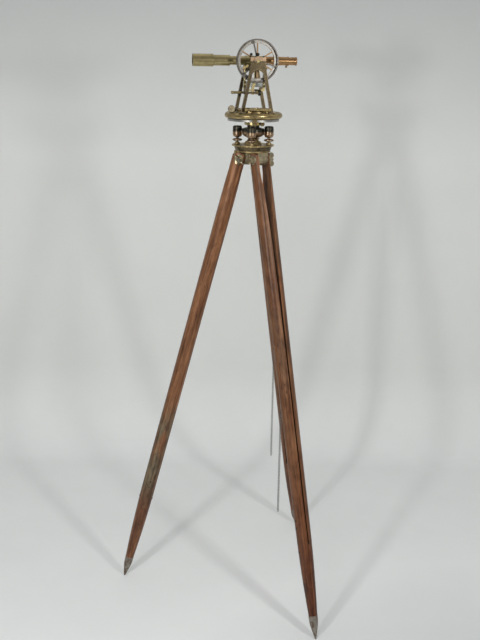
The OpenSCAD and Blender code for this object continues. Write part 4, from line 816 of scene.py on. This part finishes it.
def vial(name, body, place, r, half, length, rise):
    """White backing and bubble inside a vial, and the division lines on it, along the place's Z.

    Half is half the backing's length, length the bubble's, and rise its radius."""
    shell = turned([(0, -half), (r - 0.5, -half), (r - 0.5, half), (0, half)], 48)
    points = [(x, min(y, 0.5 * r - 0.5), z) for x, y, z in shell[0]]
    piece(name + "_backing", body, ENAMEL, [(place, (points, shell[1]))])
    profile = [(rise * math.sin(math.radians(a)), -length / 2 + rise - rise * math.cos(math.radians(a)))
               for a in range(0, 91, 15)]
    profile += [(x, -z) for x, z in reversed(profile)]
    bubble = turned(profile, 32)
    under_glass = place @ Matrix.Translation((0, r - rise - 0.5, 0))
    wide_bubble = ([(1.5 * x, y, z) for x, y, z in bubble[0]], bubble[1])
    piece(name + "_bubble", body, BUBBLE, [(under_glass, wide_bubble)])
    lines = []
    for i in range(6):
        wider = 8 if i == 1 else 0
        for side in (-1, 1):
            z = side * (length / 2 - 1.5 + 2.2 * i)
            if abs(z) < half - 1:
                line = sector(r - 0.02, r + 0.05, z - 0.14, z + 0.14, 45 - wider, 135 + wider, 9.0)
                lines.append((place, line))
    piece(name + "_lines", body, INK, lines)


def vials():
    low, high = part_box("telescope_vial")
    half = (high[0] - low[0]) / 2 / MM - 3.5
    centre_z = (low[2] + high[2]) / 2 / MM - SCOPE.z / MM
    vial("long_vial", "telescope", on_scope(0, 0, centre_z, X), LONG_VIAL_R, half, 20, 2.4)
    low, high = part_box("front_plate_level")
    y = (low[1] + high[1]) / 2 / MM - AXIS.y / MM
    place = spot(FRONT_VIAL_X, y, PLATE_TOP + FRONT_VIAL_RISE, X)
    vial("front_vial", "alidade", place, PLATE_VIAL_R, 10.5, 9, 1.0)
    x, y = middle("side_plate_level")
    place = spot(x, y - SIDE_VIAL_OFF, PLATE_TOP + SIDE_VIAL_RISE, Y)
    vial("side_vial", "alidade", place, PLATE_VIAL_R, 4.5, 6, 1.0)


def screw_heads():
    """Slotted heads of the bearing screws, holes in the capstan heads and threads on the legs' bolts."""
    heads = []
    for x in (-CAP_SCREW_X, CAP_SCREW_X):
        for y in (-CAP_SCREW_Y, CAP_SCREW_Y):
            # Each slot points another way
            place = on_scope(x, y, CAP_SCREW_Z, Z, 37 * x + 5 * y)
            heads.append((place, slotted(3.1, 1.1, 0.9, 0.35)))
    piece("bearing_screw_slots", "alidade", BRONZE, heads)
    holes = []
    hole = turned([(0.7, 0), (0.7, 0.06), (0, 0.06)], 16)
    for i in range(4):
        out = Matrix.Rotation(math.radians(90 * i), 3, "X") @ Z
        for aim in (X, out.cross(X)):
            for sign in (-1, 1):
                at = X * CAPSTAN_X + out * CAPSTAN_REACH + aim * sign * CAPSTAN_HALF
                holes.append((on_scope(*at, aim * sign), hole))
    piece("capstan_holes", "telescope", INK, holes)
    for leg in ("left", "front", "rear"):
        joint = JOINTS[leg + "_leg_fold"]
        hinge, across = Vector(joint["pos_m"]), -Vector(joint["axis"])
        bolt = (Matrix.Translation(hinge) @ across.to_track_quat("Z", "Y").to_matrix().to_4x4()
                @ Matrix.Scale(MM, 4))
        piece(leg + "_bolt_thread", leg + "_leg", STEEL, [
            (bolt, thread(BOLT_R, BOLT_FROM, BOLT_TO, 1.0, 0.3)),
            (bolt, turned([(BOLT_R, 44.3), (3.2, 44.9), (0, 45.0)], 32))])


def leg_shoes():
    """Forged shoes, each a socket round the leg's end that narrows to a blunt point."""
    for leg in ("left", "front", "rear"):
        foot, hinge = foot_of(leg), Vector(JOINTS[leg + "_leg_fold"]["pos_m"])
        up = (hinge - foot).normalized()
        turn = up.to_track_quat("Z", "Y").to_matrix().to_4x4()
        place = Matrix.Translation(foot) @ turn @ Matrix.Scale(MM, 4)
        verts, faces = turned(SHOE_PROFILE, 48)
        uneven = []
        for x, y, z in verts:
            a = math.atan2(y, x)
            dent = 0.975 - 0.015 * math.sin(2 * a + 1.3 + z * 0.05) - 0.010 * math.sin(5 * a + z * 0.11)
            uneven.append((x * dent, y * dent, z) if 3 < z < 74 else (x, y, z))
        shoe = piece(leg + "_shoe", leg + "_leg", SHOE, [(place, (uneven, faces))])
        for vertex in shoe.data.vertices:
            vertex.co.z = max(vertex.co.z, 0.0)
        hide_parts(leg + "_leg_shoe")


def telescope_rings():
    """Rolled edges, ribs and knurls along the telescope."""
    along = on_scope(0, 0, 0, X)

    def bead(r, z, wide, high=0.35):
        return turned([(r - 0.05, z - wide / 2), (r + high * 0.8, z - wide * 0.3), (r + high, z),
                       (r + high * 0.8, z + wide * 0.3), (r - 0.05, z + wide / 2)], 72)

    tube = [bead(COLLAR_R, -74.5, 1.6, 0.3), bead(BARREL_R, -90, 0.8, 0.15), bead(TUBE_R, -40, 1.2),
            bead(TUBE_R, 46, 1.2), bead(TUBE_R, 49, 0.8, 0.2), knurl(12.8, 97.3, 99.7, 52, 0.25),
            bead(SLEEVE_R, 80, 0.9, 0.25)]
    piece("tube_rings", "telescope", TUBE, [(along, shape) for shape in tube])
    low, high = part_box("sunshade")
    front = (low[0] - AXIS.x) / MM
    back = (high[0] - AXIS.x) / MM
    shade = [bead(SUNSHADE_R, front + 1.2, 2.2, 0.5), bead(SUNSHADE_R, front + 5.0, 0.8, 0.2),
             bead(SUNSHADE_R, back - 1.6, 2.6, 0.5), bead(SUNSHADE_R, back - 5.4, 0.8, 0.2)]
    piece("sunshade_rings", "sunshade", AGED, [(along, shape) for shape in shade])
    cup = (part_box("eyepiece")[1][0] - AXIS.x) / MM
    ribs = [bead(10.9, cup - 12 + 1.9 * i, 1.2, 0.4) for i in range(4)]
    ribs.append(knurl(11.9, cup - 3.6, cup - 0.5, 48, 0.3))
    piece("eyepiece_ribs", "eyepiece", COPPERY, [(along, shape) for shape in ribs])
    rim = spot(0, 0, PLATE_TOP)
    piece("plate_bead", "alidade", BRIGHT,
          [(rim, turned([(76.9, -0.1), (77.2, 0.45), (78.0, 0.4), (78.4, -0.3)], 160))])


# Studio

def camera_axes():
    """The camera's right, up and forward directions."""
    heading, tilt, roll = (math.radians(a) for a in (CAMERA_HEADING, CAMERA_TILT, CAMERA_ROLL))
    level = math.cos(tilt)
    forward = Vector((math.sin(heading) * level, math.cos(heading) * level, math.sin(tilt)))
    right = Vector((math.cos(heading), -math.sin(heading), 0))
    up = right.cross(forward)
    side = right * math.cos(roll) + up * math.sin(roll)
    top = up * math.cos(roll) - right * math.sin(roll)
    return side, top, forward


def make_camera():
    side, top, forward = camera_axes()
    data = bpy.data.cameras.new("camera")
    data.lens = CAMERA_LENS
    data.sensor_width = 36.0
    data.clip_end = 50.0
    cam = bpy.data.objects.new("camera", data)
    cam.matrix_world = Matrix.Translation(CAMERA_AT) @ Matrix((side, top, -forward)).transposed().to_4x4()
    bpy.context.scene.collection.objects.link(cam)
    bpy.context.scene.camera = cam


def studio_point(right, back, up):
    """A point given from the instrument's axis in the camera's horizontal directions."""
    heading = math.radians(CAMERA_HEADING)
    axis = Vector(JOINTS["plate_turn"]["pos_m"])
    return Vector((axis.x + right * math.cos(heading) + back * math.sin(heading),
                   axis.y - right * math.sin(heading) + back * math.cos(heading), up))


def make_backdrop():
    """A pale floor that curves up into a wall, seen from its front only."""
    profile = [(-FLOOR_FRONT, 0.0), (-1.0, 0.0), (WALL_BACK - COVE_RADIUS, 0.0)]
    for i in range(1, 13):
        a = math.radians(90 * i / 12)
        back = WALL_BACK - COVE_RADIUS + COVE_RADIUS * math.sin(a)
        profile.append((back, COVE_RADIUS - COVE_RADIUS * math.cos(a)))
    profile.append((WALL_BACK, WALL_TOP))
    verts, faces = [], []
    for back, up in profile:
        for right in (-STAGE_HALF, STAGE_HALF):
            verts.append(studio_point(right, back, up))
    for i in range(len(profile) - 1):
        faces.append((2 * i, 2 * i + 1, 2 * i + 3, 2 * i + 2))
    mesh = bpy.data.meshes.new("backdrop")
    mesh.from_pydata(verts, [], faces)
    mesh.polygons.foreach_set("use_smooth", [True] * len(faces))
    mesh.materials.append(backdrop_paper())
    stage = bpy.data.objects.new("backdrop", mesh)
    bpy.context.scene.collection.objects.link(stage)


def backdrop_paper():
    """Pale paper with painted light falloff: lighter on the floor than on the wall, a little darker up the wall
    and to the right of the feet, and clear from behind.
    """
    s = Surface("backdrop_paper", Roughness=0.85)
    s.set("Specular IOR Level", 0.1)
    broad = s.math("MULTIPLY", s.noise(3.0, 5.0, 0.6), 0.7)
    cloud = s.math("ADD", broad, s.math("MULTIPLY", s.noise(160.0, 2.0), 0.3))
    # Painted light falloff: the floor is painted lighter than the wall, the wall darker from 1.3 m to 2.4 m up,
    # and the floor darker round the painted shade corner.
    floor = s.mix(cloud, lin(229, 231, 230), lin(243, 245, 244))
    wall = s.mix(cloud, lin(215, 217, 214), lin(229, 230, 227))
    height = s.put("ShaderNodeSeparateXYZ", {0: s.place}).outputs["Z"]
    tone = s.mix(s.span(height, 0.0, 0.35), floor, wall)
    tone = s.mix(s.span(height, 1.3, 2.4), tone, lin(170, 173, 173))
    away = s.vec("DISTANCE", s.place, tuple(studio_point(*PAINTED_SHADE_CORNER)))
    s.set("Base Color", s.mix(s.span(away, 1.1, 0.2), tone, lin(196, 199, 199)))
    behind = s.put("ShaderNodeNewGeometry").outputs["Backfacing"]
    clear = s.put("ShaderNodeBsdfTransparent").outputs[0]
    shown = s.put("ShaderNodeMixShader", {0: behind, 1: s.bsdf.outputs[0], 2: clear})
    out = next(n for n in s.tree.nodes if n.bl_idname == "ShaderNodeOutputMaterial")
    s.tree.links.new(shown.outputs[0], out.inputs[0])
    return s.mat


def soft_box(name, at, aim, size, power, mirrored=True):
    data = bpy.data.lights.new(name, "AREA")
    data.shape = "DISK"
    data.size = size
    data.energy = power
    lamp = bpy.data.objects.new(name, data)
    lamp.location = at
    lamp.visible_glossy = mirrored
    lamp.rotation_euler = (Vector(aim) - Vector(at)).to_track_quat("-Z", "Y").to_euler()
    bpy.context.scene.collection.objects.link(lamp)


def make_lights():
    """Two small lamps that throw the shadows, and a wide one aimed at the feet."""
    aim = studio_point(0, 0, 1.1)
    soft_box("right_lamp", studio_point(1.12, -1.66, 1.74), aim, 0.20, 12.0)
    soft_box("left_lamp", studio_point(-1.33, -2.62, 1.66), aim, 0.24, 22.0)
    low_aim = studio_point(0, 0.3, 0.2)
    soft_box("low_lamp", studio_point(-0.6, -2.2, 2.4), low_aim, 1.4, 16.0, mirrored=False)


def make_world():
    """Even light from all round. Metal mirrors a room that is bright behind the instrument, dark in front."""
    world = bpy.data.worlds.new("studio")
    world.use_nodes = True
    tree = world.node_tree
    tree.nodes.clear()
    facing = put(tree, "ShaderNodeTexCoord").outputs["Generated"]
    forward = camera_axes()[2]
    away = Vector((-forward.x, -forward.y, 0)).normalized()
    front = put(tree, "ShaderNodeVectorMath", {0: facing, 1: tuple(away)}, operation="DOT_PRODUCT")
    height = put(tree, "ShaderNodeSeparateXYZ", {0: facing}).outputs["Z"]
    room = put(tree, "ShaderNodeMapRange", {
        "Value": front.outputs["Value"], "From Min": -0.25, "From Max": 0.45, "To Min": 0.55, "To Max": 0.08})
    ceiling = put(tree, "ShaderNodeMapRange", {
        "Value": height, "From Min": 0.2, "From Max": 0.6, "To Min": 0.0, "To Max": 0.22})
    mirrored = put(tree, "ShaderNodeMath", {0: room.outputs[0], 1: ceiling.outputs[0]}, operation="ADD")
    path = put(tree, "ShaderNodeLightPath").outputs
    level = put(tree, "ShaderNodeMix", {
        0: path["Is Glossy Ray"], 2: AMBIENT, 3: mirrored.outputs[0]}).outputs[0]
    seen = put(tree, "ShaderNodeMath", {0: path["Is Camera Ray"], 1: path["Is Transmission Ray"]},
               operation="MAXIMUM").outputs[0]
    grey = put(tree, "ShaderNodeCombineColor", {0: level, 1: level, 2: level}).outputs[0]
    tone = put(tree, "ShaderNodeMix", {0: seen, 6: grey, 7: lin(196, 198, 196)}, data_type="RGBA")
    light = put(tree, "ShaderNodeBackground", {"Color": tone.outputs[2], "Strength": 1.0})
    tree.links.new(light.outputs[0], put(tree, "ShaderNodeOutputWorld").inputs[0])
    bpy.context.scene.world = world


make_camera()
make_backdrop()
make_lights()
make_world()
dress_nodes()
leveling_details()
knob_grips()
circle_scale()
vernier_windows()
compass_face()
vials()
screw_heads()
leg_shoes()
telescope_rings()

bpy.context.scene.view_settings.view_transform = "Standard"
